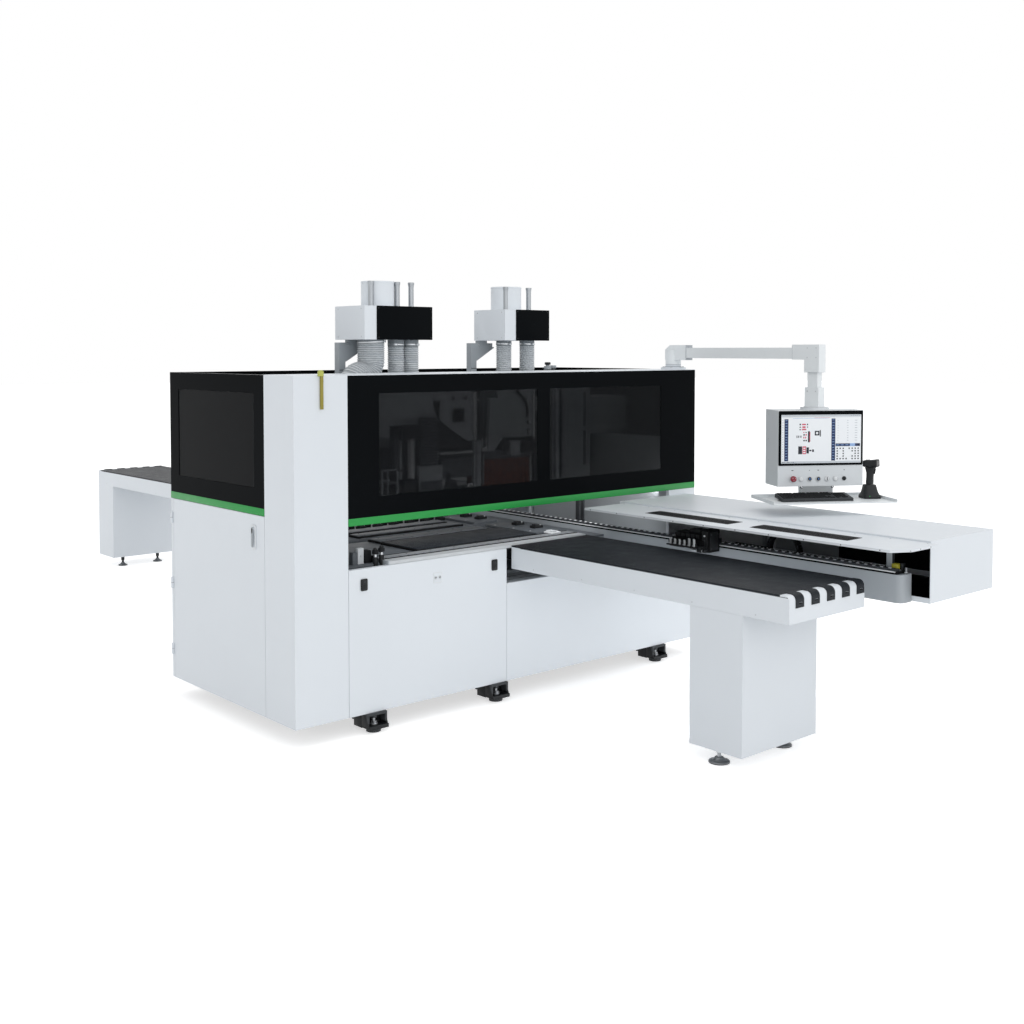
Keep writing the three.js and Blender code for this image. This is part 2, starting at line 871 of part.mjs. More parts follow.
function buildLowerCovers(cabinet) {
  const left = accessCoverRight;
  const right = cabinetWidth;
  const earTop = frontTrimBottom - seam;
  const front = join(
    block(left, right, 0, sheet, cabinetBottom, lowCoverTop),
    block(left, right, 0, flange, lowCoverTop - sheet, lowCoverTop),
    block(left, right, 0, flange, cabinetBottom, cabinetBottom + sheet),
    block(left, left + sheet, 0, flange, cabinetBottom, lowCoverTop),
    block(rightColumnLeft, right, 0, sheet, cabinetBottom, earTop),
    block(rightColumnLeft, rightColumnLeft + sheet, 0, flange, lowCoverTop - sheet, earTop),
    block(rightColumnLeft, right, 0, flange, earTop - sheet, earTop),
    block(right - sheet, right, 0, flange, cabinetBottom, earTop),
  );
  addNode(cabinet, "front_cover", whitePaint, front, [left, 0, cabinetBottom]);

  const back = cabinetDepth;
  const top = sideTrimBottom - seam;
  const sideStart = flange + seam;
  const rear = join(
    block(0, right, back - sheet, back, cabinetBottom, lowCoverTop),
    block(0, right, back - flange, back, lowCoverTop - sheet, lowCoverTop),
    block(0, columnWidth, back - sheet, back, cabinetBottom, top),
    block(0, sheet, back - flange, back, cabinetBottom, top),
    block(columnWidth - sheet, columnWidth, back - flange, back, lowCoverTop - sheet, top),
    block(rightColumnLeft, right, back - sheet, back, cabinetBottom, top),
    block(rightColumnLeft, rightColumnLeft + sheet, back - flange, back, lowCoverTop - sheet, top),
    block(right - sheet, right, sideStart, back, cabinetBottom, top),
    block(right - flange, right, sideStart, sideStart + sheet, cabinetBottom, top),
    block(right - flange, right, sideStart, back, cabinetBottom, cabinetBottom + sheet),
  );
  addNode(cabinet, "rear_cover", whitePaint, rear, [0, back, cabinetBottom]);
}

// A door or cover folded from one sheet, seen from its outer face at y = 0, before it is turned into place
function foldedPanel(x0, x1, z0, z1) {
  return cut(
    block(x0, x1, 0, flange, z0, z1),
    block(x0 + thinSheet, x1 - thinSheet, thinSheet, flange + overrun, z0 + thinSheet, z1 - thinSheet),
  );
}

function buildAccessCover(cabinet) {
  const left = columnWidth + doorGap;
  const right = accessCoverRight - doorGap;
  const shape = foldedPanel(left, right, cabinetBottom, accessCoverTop);
  addNode(cabinet, "access_cover", whitePaint, shape, [left, 0, cabinetBottom]);
  const latchTop = accessCoverTop - latchDrop;
  const places = { cover_latch_left: left + latchInset, cover_latch_right: right - latchInset - latchWidth };
  for (const [name, x] of Object.entries(places)) {
    const latch = join(
      block(x, x + latchWidth, -latchThickness, -seam, latchTop - latchHeight, latchTop),
      block(x + latchWidth / 4, x + latchWidth * 3 / 4, -latchThickness * 3 / 2, -seam,
        latchTop - latchHeight, latchTop - latchHeight / 2),
    );
    addNode(cabinet, name, blackPlastic, latch, [x, -seam, latchTop]);
  }
}

function buildElectricalBay(cabinet) {
  const front = columnDepth + doorGap;
  const back = cabinetDepth - flange - doorGap;
  const low = cabinetBottom;
  const top = sideTrimBottom - doorGap;
  const handleY = columnDepth + handleInset;
  const handleTop = sideTrimBottom - handleDrop;
  const door = join(
    cut(
      block(0, flange, front, back, low, top),
      block(thinSheet, flange + overrun, front + thinSheet, back - thinSheet, low + thinSheet,
        top - thinSheet),
    ),
    block(-handleSeat, thinSheet, handleY - handleSeatMargin, handleY + handleWidth + handleSeatMargin,
      handleTop - handleHeight - handleSeatMargin, handleTop + handleSeatMargin),
  );
  addNode(cabinet, "electrical_door", whitePaint, door, [0, back, low]);
  const grip = -handleSeat - seam;
  addNode(cabinet, "door_handle", steel,
    block(grip - handleThickness, grip, handleY, handleY + handleWidth, handleTop - handleHeight, handleTop),
    [grip, handleY, handleTop]);

  const plateFront = columnDepth + drivePlateMargin;
  const plateBack = cabinetDepth - drivePlateMargin;
  const plateLow = bedTop + seam;
  const plateTop = sideTrimBottom - drivePlateMargin;
  const cellY = (plateBack - plateFront) / driveColumns;
  const cellZ = (plateTop - plateLow) / driveRows;
  const plateRight = drivePlateLeft + drivePlateThickness;
  const driveLeft = drivePlateLeft - driveDepth;
  const driveRight = drivePlateLeft + thinSheet;
  const parts = [block(drivePlateLeft, plateRight, plateFront, plateBack, plateLow, plateTop)];
  for (let column = 0; column < driveColumns; column += 1) {
    for (let row = 0; row < driveRows; row += 1) {
      const y = plateFront + cellY * column;
      const z = plateLow + cellZ * row;
      parts.push(block(driveLeft, driveRight, y + driveGap, y + cellY - driveGap, z + driveGap,
        z + cellZ - driveGap));
    }
  }
  addNode(cabinet, "drive_panel", greyPaint, join(parts), [drivePlateLeft, plateFront, plateLow]);
}

function buildWorkTable(cabinet) {
  const left = workBaseLeft;
  const right = workRight;
  const front = workFrontSetback;
  const slotClear = seam;
  const guideY = cabinetDepth - guideRowSetback;
  const parts = [
    block(left, right, front, lowerSlotFront - slotClear, workBaseBottom, workBaseTop),
    block(left, right, lowerSlotBack + slotClear, workBack, workBaseBottom, workBaseTop),
    block(ledgeLeft, right, 0, ledgeDepth, workTop - ledgeHeight, workTop),
    block(ledgeLeft, right, ledgeDepth - sheet, front + overrun, workBaseBottom, workBaseTop),
  ];
  for (let i = 0; i < workRailCount; i += 1) {
    const x = workRailX(i);
    parts.push(block(x, x + workRail, ledgeDepth, workBack, workRailBottom, workBaseBottom + overrun));
  }
  for (const [slabFront, slabBack] of slabEdges) {
    parts.push(block(workSlabLeft, right, slabFront, slabBack, workBaseTop - overrun, workTop));
  }
  for (let i = 0; i < guideBlockCount; i += 1) {
    const x = left + (right - left - guideBlockWidth) * (i / (guideBlockCount - 1));
    parts.push(block(x, x + guideBlockWidth, guideY, guideY + guideBlockDepth,
      workBaseTop - overrun, workTop + guideBlockHeight));
  }
  const stopTop = workBaseTop;
  parts.push(block(stopPlateLeft, stopPlateLeft + stopPlateWidth, stopPlateFront, front + stopPlateDepth,
    stopTop - stopPlateDrop, stopTop));
  for (const shift of [0, stopPostSpacing]) {
    const x = stopPlateLeft + stopPlateWidth + stopPostSpacing + shift;
    parts.push(post(x, front + stopPostRadius * 2, stopPostRadius, stopTop - stopPlateDrop,
      stopTop + stopPostHeight));
  }
  addNode(cabinet, "work_table", darkPaint, join(parts), [left, front, workBaseBottom]);
}

function roundedBar(x0, x1, y0, y1, leftRadius, rightRadius, steps) {
  return [
    ...arc(x0 + leftRadius, y0 + leftRadius, leftRadius, 0.5, 0.75, steps),
    ...arc(x1 - rightRadius, y0 + rightRadius, rightRadius, 0.75, 1, steps),
    [x1, y1],
    [x0, y1],
  ];
}

function buildClampBeam(cabinet) {
  const shape = cut(
    pushedUp(roundedBar(clampBeamLeft, clampBeamRight, clampBeamFront, clampBeamBack, clampBeamRadius,
      clampBeamRightRadius, tableEndSteps / 2), clampBeamBottom, clampBeamTop),
    block(clampBeamLeft + clampBeamWall, clampBeamRight - clampBeamWall, clampBeamFront + clampBeamRadius,
      clampBeamBack - clampBeamWall, clampBeamBottom - overrun, clampBeamTop - clampBeamWall),
  );
  addNode(cabinet, "clamp_beam", greyPaint, shape, [clampBeamLeft, clampBeamFront, clampBeamBottom]);

  const low = clampBeamTop + seam;
  const baseTop = low + railBaseHeight;
  const baseLeft = clampBeamLeft + railBaseInset;
  const baseRight = baseLeft + railBaseWidth;
  const front = clampBeamFront + railEndSetback;
  const back = clampBeamBack - railEndSetback;
  const rails = join(
    block(baseLeft, baseRight, front, back, low, baseTop),
    block(baseLeft, baseLeft + linearRailWidth, front, back, low, railTop),
    block(baseRight - rackWidth, baseRight, front, back, low, baseTop + rackHeight),
  );
  addNode(cabinet, "clamp_rail", steel, rails, [baseLeft, front, low]);
}

// The white housing beside the clamp beam, open towards the beam. Its end wall is at the far end.
function housing(near, far) {
  const left = clampBeamRight + seam;
  const right = housingRight;
  const low = Math.min(near, far);
  const high = Math.max(near, far);
  const endLow = far < near ? far : far - sheet;
  const parts = [
    block(left, right, low, high, housingTop - sheet, housingTop),
    block(right - sheet, right, low, high, housingBottom, housingTop),
    block(left, right, low, high, housingBottom, housingBottom + sheet),
    block(left, right, endLow, endLow + sheet, housingBottom, housingTop),
    block(left, left + sheet, low, high, housingTop - flange, housingTop),
    block(left, left + sheet, low, high, housingBottom, housingBottom + flange),
  ];
  return parts;
}

function buildHousings(cabinet) {
  const front = join(
    housing(-seam, -housingLength),
  );
  addNode(cabinet, "side_housing", whitePaint, front, [clampBeamRight, 0, housingBottom]);

  const lidRight = clampBeamRight - seam;
  const lidFront = -lidOutset;
  const lidBack = -lidSetback;
  const lidLow = lidTop - lidThickness;
  const outline = [
    [lidLeft, lidFront + lidChamferAlong],
    [lidLeft + lidChamferAcross, lidFront],
    [lidRight, lidFront],
    [lidRight, lidBack],
    [lidLeft, lidBack],
  ];
  const vents = [0, 1].map((i) => {
    const y = -ventFront + i * (ventLength + ventGap);
    return block(ventLeft, ventLeft + ventWidth, y, y + ventLength, lidTop - ventDepth, lidTop + overrun);
  });
  addNode(cabinet, "side_lid", whitePaint, cut(pushedUp(outline, lidLow, lidTop), vents),
    [lidLeft, lidFront, lidLow]);

  const rearNear = cabinetDepth + seam;
  const rearFar = cabinetDepth + housingLength;
  const rearLid = block(lidLeft, clampBeamRight + sheet, rearNear + lidSetback, rearFar, lidLow, lidTop);
  addNode(cabinet, "rear_housing", whitePaint, join(housing(rearNear, rearFar), rearLid),
    [clampBeamRight, rearNear, housingBottom]);
}

// A clamp that slides on the beam, with its jaw. The tower stands at the low end of Y.
function buildClamp(cabinet, suffix, start) {
  const left = jawLeft + jawWidth + seam;
  const right = clampBeamLeft - clampSideGap;
  const end = start + clampLength;
  const towerEnd = start + clampTowerLength;
  const bodyTop = clampBodyBottom + clampBodyHeight;
  const overRail = railTop + seam;
  const body = join(
    block(left, right, start + clampBodySetback, end, clampBodyBottom, bodyTop),
    block(right - overrun, right + clampRailCover, start + clampRailSetback, end, overRail, bodyTop),
    block(clampTowerLeft, right, start, towerEnd, clampTowerBottom, clampTowerTop),
  );
  addNode(cabinet, `clamp_${suffix}`, blackPlastic, body, [left, start, overRail]);
  const jawStart = towerEnd + seam;
  const jawEnd = end - jawEndGap;
  const jawTop = jawBottom + jawHeight;
  const parts = [block(jawLeft, jawLeft + jawWidth, jawStart, jawEnd, jawBottom, jawTop)];
  for (let i = 0; i < jawPinCount; i += 1) {
    const y = jawStart + (jawEnd - jawStart) * ((i + 0.5) / jawPinCount);
    parts.push(post(jawLeft + jawWidth / 2, y, jawPinRadius, jawTop - overrun, jawTop + jawPinHeight,
      coarseSides));
  }
  addNode(cabinet, `clamp_jaw_${suffix}`, steel, join(parts), [jawLeft, jawStart, jawBottom]);
}

// Side outline of a table from its inner end to its rounded far end, inset by the wall given.
// Distances run outwards from the cabinet and are turned into Y by the direction.
function tableOutline(length, inset, deckTop, bottom) {
  const far = length - inset;
  const deckEnd = length - tableEndLength;
  const radius = tableEndRadius - inset;
  const top = tableTop - inset;
  const endStart = deckEnd + inset;
  return [
    [seam + inset, bottom],
    [far, bottom],
    ...arc(length - tableEndRadius, tableTop - tableEndRadius, radius, 0, 0.25, tableEndSteps),
    [endStart, top],
    [endStart, deckTop - inset],
    [seam + inset, deckTop - inset],
  ];
}

function toMachine(outline, start, direction) {
  const points = outline.map(([distance, z]) => [start + direction * distance, z]);
  return direction > 0 ? points : points.reverse();
}

function tableFrame(start, direction, length) {
  const deckTop = tableTop - tableTopThickness - seam;
  const outer = pushedAlongX(toMachine(tableOutline(length, 0, deckTop, apronBottom), start, direction),
    tableLeft, tableRight);
  const inner = pushedAlongX(
    toMachine(tableOutline(length, sheet, deckTop, apronBottom - overrun), start, direction),
    tableLeft + sheet, tableRight - sheet);
  return cut(outer, inner);
}

// The black top, with the strips that wrap down over the rounded end
function tableTopPiece(start, direction, length) {
  const deckEnd = length - tableEndLength;
  const between = (a, b) => [start + direction * a, start + direction * b].sort((p, q) => p - q);
  const parts = [block(tableLeft, tableRight, ...between(seam, deckEnd - seam),
    tableTop - tableTopThickness, tableTop)];
  const low = seam;
  const high = seam + stripThickness;
  const centreY = length - tableEndRadius;
  const centreZ = tableTop - tableEndRadius;
  const outline = [
    [deckEnd - tableTopThickness, tableTop - tableTopThickness / 2],
    [deckEnd - tableTopThickness, tableTop + high],
    ...arc(centreY, centreZ, tableEndRadius + high, 0.25, 0, tableEndSteps),
    [length + high, tableTop - stripHeight],
    [length + low, tableTop - stripHeight],
    ...arc(centreY, centreZ, tableEndRadius + low, 0, 0.25, tableEndSteps),
    [deckEnd - seam, tableTop + low],
    [deckEnd - seam, tableTop - tableTopThickness / 2],
  ];
  const pitch = (tableWidth - stripMargin - stripFarMargin - stripWidth) / (stripCount - 1);
  for (let i = 0; i < stripCount; i += 1) {
    const x = tableLeft + stripMargin + pitch * i;
    parts.push(pushedAlongX(toMachine(outline, start, direction).reverse(), x, x + stripWidth));
  }
  return join(parts);
}

// A hollow leg, open at its top, with a floor plate for its feet
function tableLeg(start, direction, nearDistance, bottom, top, width) {
  const edges = [start + direction * nearDistance, start + direction * (nearDistance + legLength)];
  edges.sort((a, b) => a - b);
  return cut(
    block(tableLeft, tableLeft + width, ...edges, bottom, top),
    block(tableLeft + sheet, tableLeft + width - sheet, edges[0] + sheet, edges[1] - sheet,
      bottom + sheet * 2, top + overrun),
  );
}

function tableFoot(x, y, top) {
  return turned([
    [0, 0], [footDiscRadius, 0], [footDiscRadius, footDiscHeight], [footConeRadius, footConeHeight],
    [footStemRadius, footConeHeight], [footStemRadius, top], [0, top],
  ], x, y);
}

function buildTables(cabinet) {
  const rearStart = cabinetDepth;
  addNode(cabinet, "front_table_frame", whitePaint, tableFrame(0, -1, frontTableLength),
    [tableLeft, 0, apronBottom]);
  addNode(cabinet, "front_table_top", tableFace, tableTopPiece(0, -1, frontTableLength),
    [tableLeft, 0, tableTop]);
  const frontLegNear = frontTableLength - frontLegOutset - legLength;
  addNode(cabinet, "front_leg", whitePaint,
    tableLeg(0, -1, frontLegNear, frontLegBottom, apronBottom - seam, legWidth),
    [tableLeft, -frontLegNear, frontLegBottom]);

  const rearLegNear = rearTableLength - legLength;
  const rearLeg = tableLeg(rearStart, 1, rearLegNear, rearLegBottom, apronBottom + overrun, tableWidth);
  addNode(cabinet, "rear_table_frame", whitePaint, join(tableFrame(rearStart, 1, rearTableLength), rearLeg),
    [tableLeft, rearStart, apronBottom]);
  addNode(cabinet, "rear_table_top", tableFace, tableTopPiece(rearStart, 1, rearTableLength),
    [tableLeft, rearStart, tableTop]);

  const feet = {
    front: {
      y: -frontLegNear - legLength / 2,
      left: tableLeft + frontFootInset,
      spacing: frontFootSpacing,
      stagger: -frontFootStagger,
      top: frontLegBottom - seam,
    },
    rear: {
      y: rearStart + rearLegNear + rearFootSetback,
      left: tableLeft + rearFootInset,
      spacing: rearFootSpacing,
      stagger: 0,
      top: rearLegBottom - seam,
    },
  };
  for (const [row, { y, left, spacing, stagger, top }] of Object.entries(feet)) {
    for (const [column, x, place] of [["left", left, y], ["right", left + spacing, y + stagger]]) {
      addNode(cabinet, `${row}_foot_${column}`, steel, tableFoot(x, place, top), [x, place, 0]);
    }
  }
}

function buildLamp(cabinet) {
  const right = lampLeft + lampWidth;
  const shape = join(
    block(lampLeft, right, -lampDepth, -seam, lampBottom, lampTop),
    block(lampLeft - lampCapLap, right + lampCapLap, -lampDepth - lampCapLap, -seam,
      lampTop - lampCapHeight, lampTop + lampCapLap),
  );
  addNode(cabinet, "warning_lamp", lampYellow, shape, [lampLeft, 0, lampBottom]);
}

// The arm lies along -Y of its own group, whose origin is its swivel
function buildArm(cabinet) {
  const baseTop = cabinetTop + seam + armFlangeHeight + armStubHeight;
  const baseLow = cabinetTop + seam;
  const baseStep = baseLow + armFlangeHeight;
  const base = turned([
    [0, baseLow], [armFlangeRadius, baseLow], [armFlangeRadius, baseStep], [armStubRadius, baseStep],
    [armStubRadius, baseTop], [0, baseTop],
  ], armRootX, armRootInsetY, fineSides);
  addNode(cabinet, "arm_base", whitePaint, base, [armRootX, armRootInsetY, cabinetTop]);

  const arm = group(cabinet, armRootX, armRootInsetY, 0, armTurn);
  const half = armElbowWide / 2;
  const long = armElbowLong / 2;
  const elbowLow = armElbowTop - armElbowHeight;
  const rootOutline = [
    [-armElbowReach, elbowLow],
    [armElbowBack, elbowLow],
    [armElbowBack, armElbowTop - armElbowChamferDrop],
    [armElbowBack - armElbowChamferRun, armElbowTop],
    [-armElbowReach, armElbowTop],
  ];
  const tubeHalf = armTubeWide / 2;
  const tubeTop = armTubeBottom + armTubeHeight;
  const tipFar = -armLength - long;
  const tipNear = -armLength - long + armTipElbowReach + long;
  const tipBottom = armElbowTop - armTipElbowDrop;
  const blockLow = panelTop + panelFlangeHeight + seam;
  const blockTop = blockLow + armBlockHeight;
  const blockHalf = armBlockWide / 2;
  const blockLong = armBlockLong / 2;
  const stemHalf = armStemWide / 2;
  const stemLong = armStemLong / 2;
  const shape = join(
    pushedAlongX(rootOutline, -half, half),
    post(0, 0, armStubRadius, baseTop + seam, armElbowTop - armElbowChamferDrop, fineSides),
    block(-tubeHalf, tubeHalf, tipNear - overrun, -armElbowReach + overrun, armTubeBottom, tubeTop),
    block(-half, half, tipFar, tipNear, armElbowTop - armTipElbowHeight, armElbowTop),
    block(-half, half, tipFar, tipFar + armElbowLong, tipBottom, armElbowTop),
    block(-stemHalf, stemHalf, -armLength - stemLong, -armLength + stemLong, blockTop - overrun,
      tipBottom + overrun),
    block(-blockHalf, blockHalf, -armLength - blockLong, -armLength + blockLong, blockLow, blockTop),
  );
  addNode(arm, "swing_arm", whitePaint, shape);

  const panel = group(arm, 0, -armLength, 0, panelTurn - armTurn);
  buildPanel(panel);
}

// A shape turned about the button's own line. Heights run out of the panel's front face.
function button(profile, front) {
  const points = profile.map(([radius, height]) => new THREE.Vector2(radius, height));
  const geometry = new THREE.LatheGeometry(points, roundSides);
  geometry.rotateX(Math.PI);
  geometry.translate(stopButtonX, front, stopButtonZ);
  return solid(geometry);
}

// The panel faces -Y of its own group, whose origin is its swivel
function buildPanel(panel) {
  const half = panelWidth / 2;
  const front = -panelDepth / 2;
  const back = panelDepth / 2;
  const flangeTop = panelTop + panelFlangeHeight;
  const displayBottom = panelTop - displayHeight;
  const stopHoleRadius = stopButtonStemRadius + stopButtonClearance;
  const shell = cut(
    block(-half, half, front, back, panelBottom, panelTop),
    block(-half + thinSheet, half - thinSheet, front + thinSheet, back - thinSheet,
      panelBottom + thinSheet, panelTop - thinSheet),
    block(-half + displayOpeningMargin, half - displayOpeningMargin, front - overrun, front + overrun,
      displayBottom + displayOpeningMargin, panelTop - displayOpeningMargin),
    button([[0, -overrun], [stopHoleRadius, -overrun], [stopHoleRadius, overrun], [0, overrun]], front),
  );
  const housingShape = join(
    shell,
    post(0, 0, panelFlangeRadius, panelTop - thinSheet, flangeTop, fineSides),
  );
  addNode(panel, "panel_housing", whitePaint, housingShape, [0, 0, panelBottom]);

  addNode(panel, "display_panel", gloss,
    block(-half + displayMargin, half - displayMargin, front - displayThickness, front - seam,
      displayBottom + displayMargin, panelTop - displayMargin), [0, front, displayBottom]);

  const headTop = stopButtonStem + stopButtonHead;
  const stop = button([
    [0, -stopButtonTail], [stopButtonStemRadius, -stopButtonTail], [stopButtonStemRadius, stopButtonStem],
    [stopButtonRadius, stopButtonStem + overrun], [stopButtonRadius, stopButtonStem + stopButtonHead / 2],
    [stopButtonRadius * 3 / 4, headTop], [0, headTop],
  ], front);
  addNode(panel, "emergency_stop", signalRed, stop, [stopButtonX, front, stopButtonZ]);

  buildTray(panel);
}

function buildTray(panel) {
  const top = trayBottom + sheet;
  const neckHalf = trayNeckWidth / 2;
  const tray = join(
    block(-trayLeft, trayRight, -trayFront, trayBack, trayBottom, top),
    block(-trayLeft, -trayLeft + sheet, -trayFront, trayBack, trayBottom, top + trayRim),
    block(trayRight - sheet, trayRight, -trayFront, trayBack, trayBottom, top + trayRim),
    block(-trayLeft, trayRight, trayBack - sheet, trayBack, trayBottom, top + trayRim),
    block(trayNeckX - neckHalf, trayNeckX + neckHalf, 0, trayNeckDepth, trayBottom, panelBottom - seam),
  );
  addNode(panel, "keyboard_tray", whitePaint, tray, [0, 0, trayBottom]);

  const low = top + seam;
  const keyFront = -keyboardFront - keyboardDepth / 2;
  const keyBack = keyFront + keyboardDepth;
  const keyOutline = [
    [keyFront, low], [keyBack, low], [keyBack, low + keyboardBack], [keyFront, low + keyboardHeight],
  ];
  const keyHalf = keyboardWidth / 2;
  addNode(panel, "keyboard", blackPlastic, pushedAlongX(keyOutline, keyboardX - keyHalf, keyboardX + keyHalf),
    [keyboardX, keyFront, low]);

  const cradleHalf = cradleWidth / 2;
  const neck = cradleTopWidth / 2;
  const cradleTop = low + cradleHeight;
  const cradleOutline = [
    [scannerX - cradleHalf, low], [scannerX + cradleHalf, low], [scannerX + cradleHalf, low + cradleBase],
    [scannerX + neck, cradleTop], [scannerX - neck, cradleTop], [scannerX - cradleHalf, low + cradleBase],
  ];
  addNode(panel, "scanner_cradle", blackPlastic,
    pushedAlongY(cradleOutline, scannerY - cradleHalf, scannerY + cradleHalf), [scannerX, scannerY, low]);

  const gripHalf = scannerGripWidth / 2;
  const gripLow = cradleTop + seam;
  const gripTop = gripLow + scannerGripHeight;
  const headHalf = scannerHeadWidth / 2;
  const headDepthHalf = scannerHeadDepth / 2;
  const scanner = join(
    block(scannerX - gripHalf, scannerX + gripHalf, scannerY - gripHalf, scannerY + gripHalf,
      gripLow, gripTop),
    block(scannerX - headHalf, scannerX + headHalf, scannerY - headDepthHalf, scannerY + headDepthHalf,
      gripTop - overrun, gripTop + scannerHeadHeight),
  );
  addNode(panel, "barcode_scanner", blackPlastic, scanner, [scannerX, scannerY, gripLow]);
}

// Centre line of a hose. It hangs straight at both ends and steps sideways between the two bend heights.
class HoseLine extends THREE.Curve {
  constructor(hose, top) {
    super();
    this.hose = hose;
    this.top = top;
  }

  getPoint(t, target = new THREE.Vector3()) {
    const { x, shift, bottom, bendTop, bendBottom } = this.hose;
    const z = this.top + (bottom - this.top) * t;
    const share = THREE.MathUtils.clamp((bendTop - z) / (bendTop - bendBottom), 0, 1);
    return target.set(x + shift * share * share * (3 - 2 * share), hoseY, z);
  }
}

function ribbedHose(hose) {
  const line = new HoseLine(hose, dustBoxBottom - seam);
  const ribs = Math.round(line.getLength() / hose.pitch);
  const across = new THREE.Vector3(0, 1, 0);
  const positions = [];
  const ring = (share, radius) => {
    const centre = line.getPointAt(share);
    const along = line.getTangentAt(share);
    const side = across.clone().cross(along);
    for (let i = 0; i < hoseSides; i += 1) {
      const angle = Math.PI * 2 * ((i + 0.5) / hoseSides);
      const point = centre.clone().addScaledVector(side, radius * Math.cos(angle));
      point.addScaledVector(across, radius * Math.sin(angle));
      positions.push(point.x, point.y, point.z);
    }
    return positions.length / 3 - hoseSides;
  };
  const outer = [];
  for (let i = 0; i < ribs; i += 1) {
    outer.push(ring(i / ribs, hose.radius - hose.depth));
    outer.push(ring((i + 0.5) / ribs, hose.radius));
  }
  outer.push(ring(1, hose.radius - hose.depth));
  const bore = [];
  for (let i = 0; i < ribs; i += boreRibs) {
    bore.push(ring(i / ribs, hose.radius - hose.wall));
  }
  bore.push(ring(1, hose.radius - hose.wall));
  const index = [];
  const band = (a, b) => {
    for (let i = 0; i < hoseSides; i += 1) {
      const next = (i + 1) % hoseSides;
      index.push(a + i, b + i, a + next, a + next, b + i, b + next);
    }
  };
  for (let i = 1; i < outer.length; i += 1) {
    band(outer[i], outer[i - 1]);
  }
  for (let i = 1; i < bore.length; i += 1) {
    band(bore[i - 1], bore[i]);
  }
  band(outer[0], bore[0]);
  band(bore[bore.length - 1], outer[outer.length - 1]);
  const geometry = new THREE.BufferGeometry();
  geometry.setAttribute("position", new THREE.Float32BufferAttribute(positions, 3));
  geometry.setIndex(index);
  return solid(geometry);
}

function unitHoses(letter) {
  return Object.entries(hoses).filter(([, hose]) => hose.unit === letter);
}

// Dust box on its bracket, with its outlet spigot, pipes and a hole over each hose
function dustBox(unit, letter) {
  const [left, right] = unit.box;
  const back = dustBoxBack;
  const front = dustBoxFront;
  const solids = [
    cut(
      block(left, right, front, back, dustBoxBottom, dustBoxTop),
      block(left + dustWall, right - dustWall, front + dustWall, back - dustWall, dustBoxBottom + dustWall,
        dustBoxTop - dustWall),
    ),
    post(unit.spigot, spigotY, spigotRadius, dustBoxTop - dustWall, spigotTop, fineSides),
  ];
  const tools = [post(unit.spigot, spigotY, spigotRadius - sheet, dustBoxTop - overrun, spigotTop + overrun,
    fineSides)];
  for (const x of unit.pipes) {
    solids.push(post(x, pipeY, pipeRadius, dustBoxTop - dustWall, pipeTop, roundSides));
  }
  for (const [, hose] of unitHoses(letter)) {
    tools.push(post(hose.x, hoseY, hose.radius - hose.wall, dustBoxBottom - overrun,
      dustBoxBottom + overrun, fineSides));
  }
  return cut(join(solids), tools);
}

// Carriage plate with its cross bar, the post and arm under its dust box, and the shelf under each hose
function carriage(unit, letter) {
  const [left, right] = unit.plate;
  const postBack = postFront + postWidth;
  const armTop = dustBoxBottom - armClearance;
  const armBottom = armTop - armRise + armClearance;
  const postRight = unit.post + postWidth;
  const spacer = postRight + postWidth / 2;
  const parts = [
    block(left, right, carriageFront, carriageBack, unit.plateBottom, unit.plateTop),
    block(unit.barLeft, right, carriageFront, postBack, unit.barBottom, unit.plateTop),
    block(unit.post, postRight, postFront, postBack, unit.plateTop - overrun, armTop),
    block(unit.post, unit.armEnd, postFront, postBack, armBottom, armTop),
    block(spacer, spacer + spacerLength, postFront, dustBoxBack, armTop - overrun, dustBoxBottom - seam),
    pushedAlongY([
      [postRight - overrun, armBottom - gussetDrop], [postRight + overrun, armBottom - gussetDrop],
      [postRight + gussetRun, armBottom], [postRight + gussetRun, armBottom + overrun],
      [postRight - overrun, armBottom + overrun],
    ], postFront, postFront + gussetThickness),
  ];
  const holes = [];
  for (const [, hose] of unitHoses(letter)) {
    const x = hose.x + hose.shift;
    const reach = hose.radius + hoseShelfMargin;
    const top = hose.bottom - seam;
    const low = top - hoseShelf;
    parts.push(block(x - reach, x + reach, hoseY - reach, carriageFront + overrun, low, top));
    if (low < unit.plateBottom) {
      parts.push(block(x - reach, x + reach, carriageFront, carriageBack, low, unit.plateBottom + overrun));
    }
    if (x < left) {
      parts.push(block(unit.barLeft, x + reach, carriageFront, carriageBack, low, unit.barBottom + overrun));
    }
    holes.push(post(x, hoseY, hose.radius - hose.wall, low - overrun, top + overrun));
  }
  return cut(join(parts), holes);
}

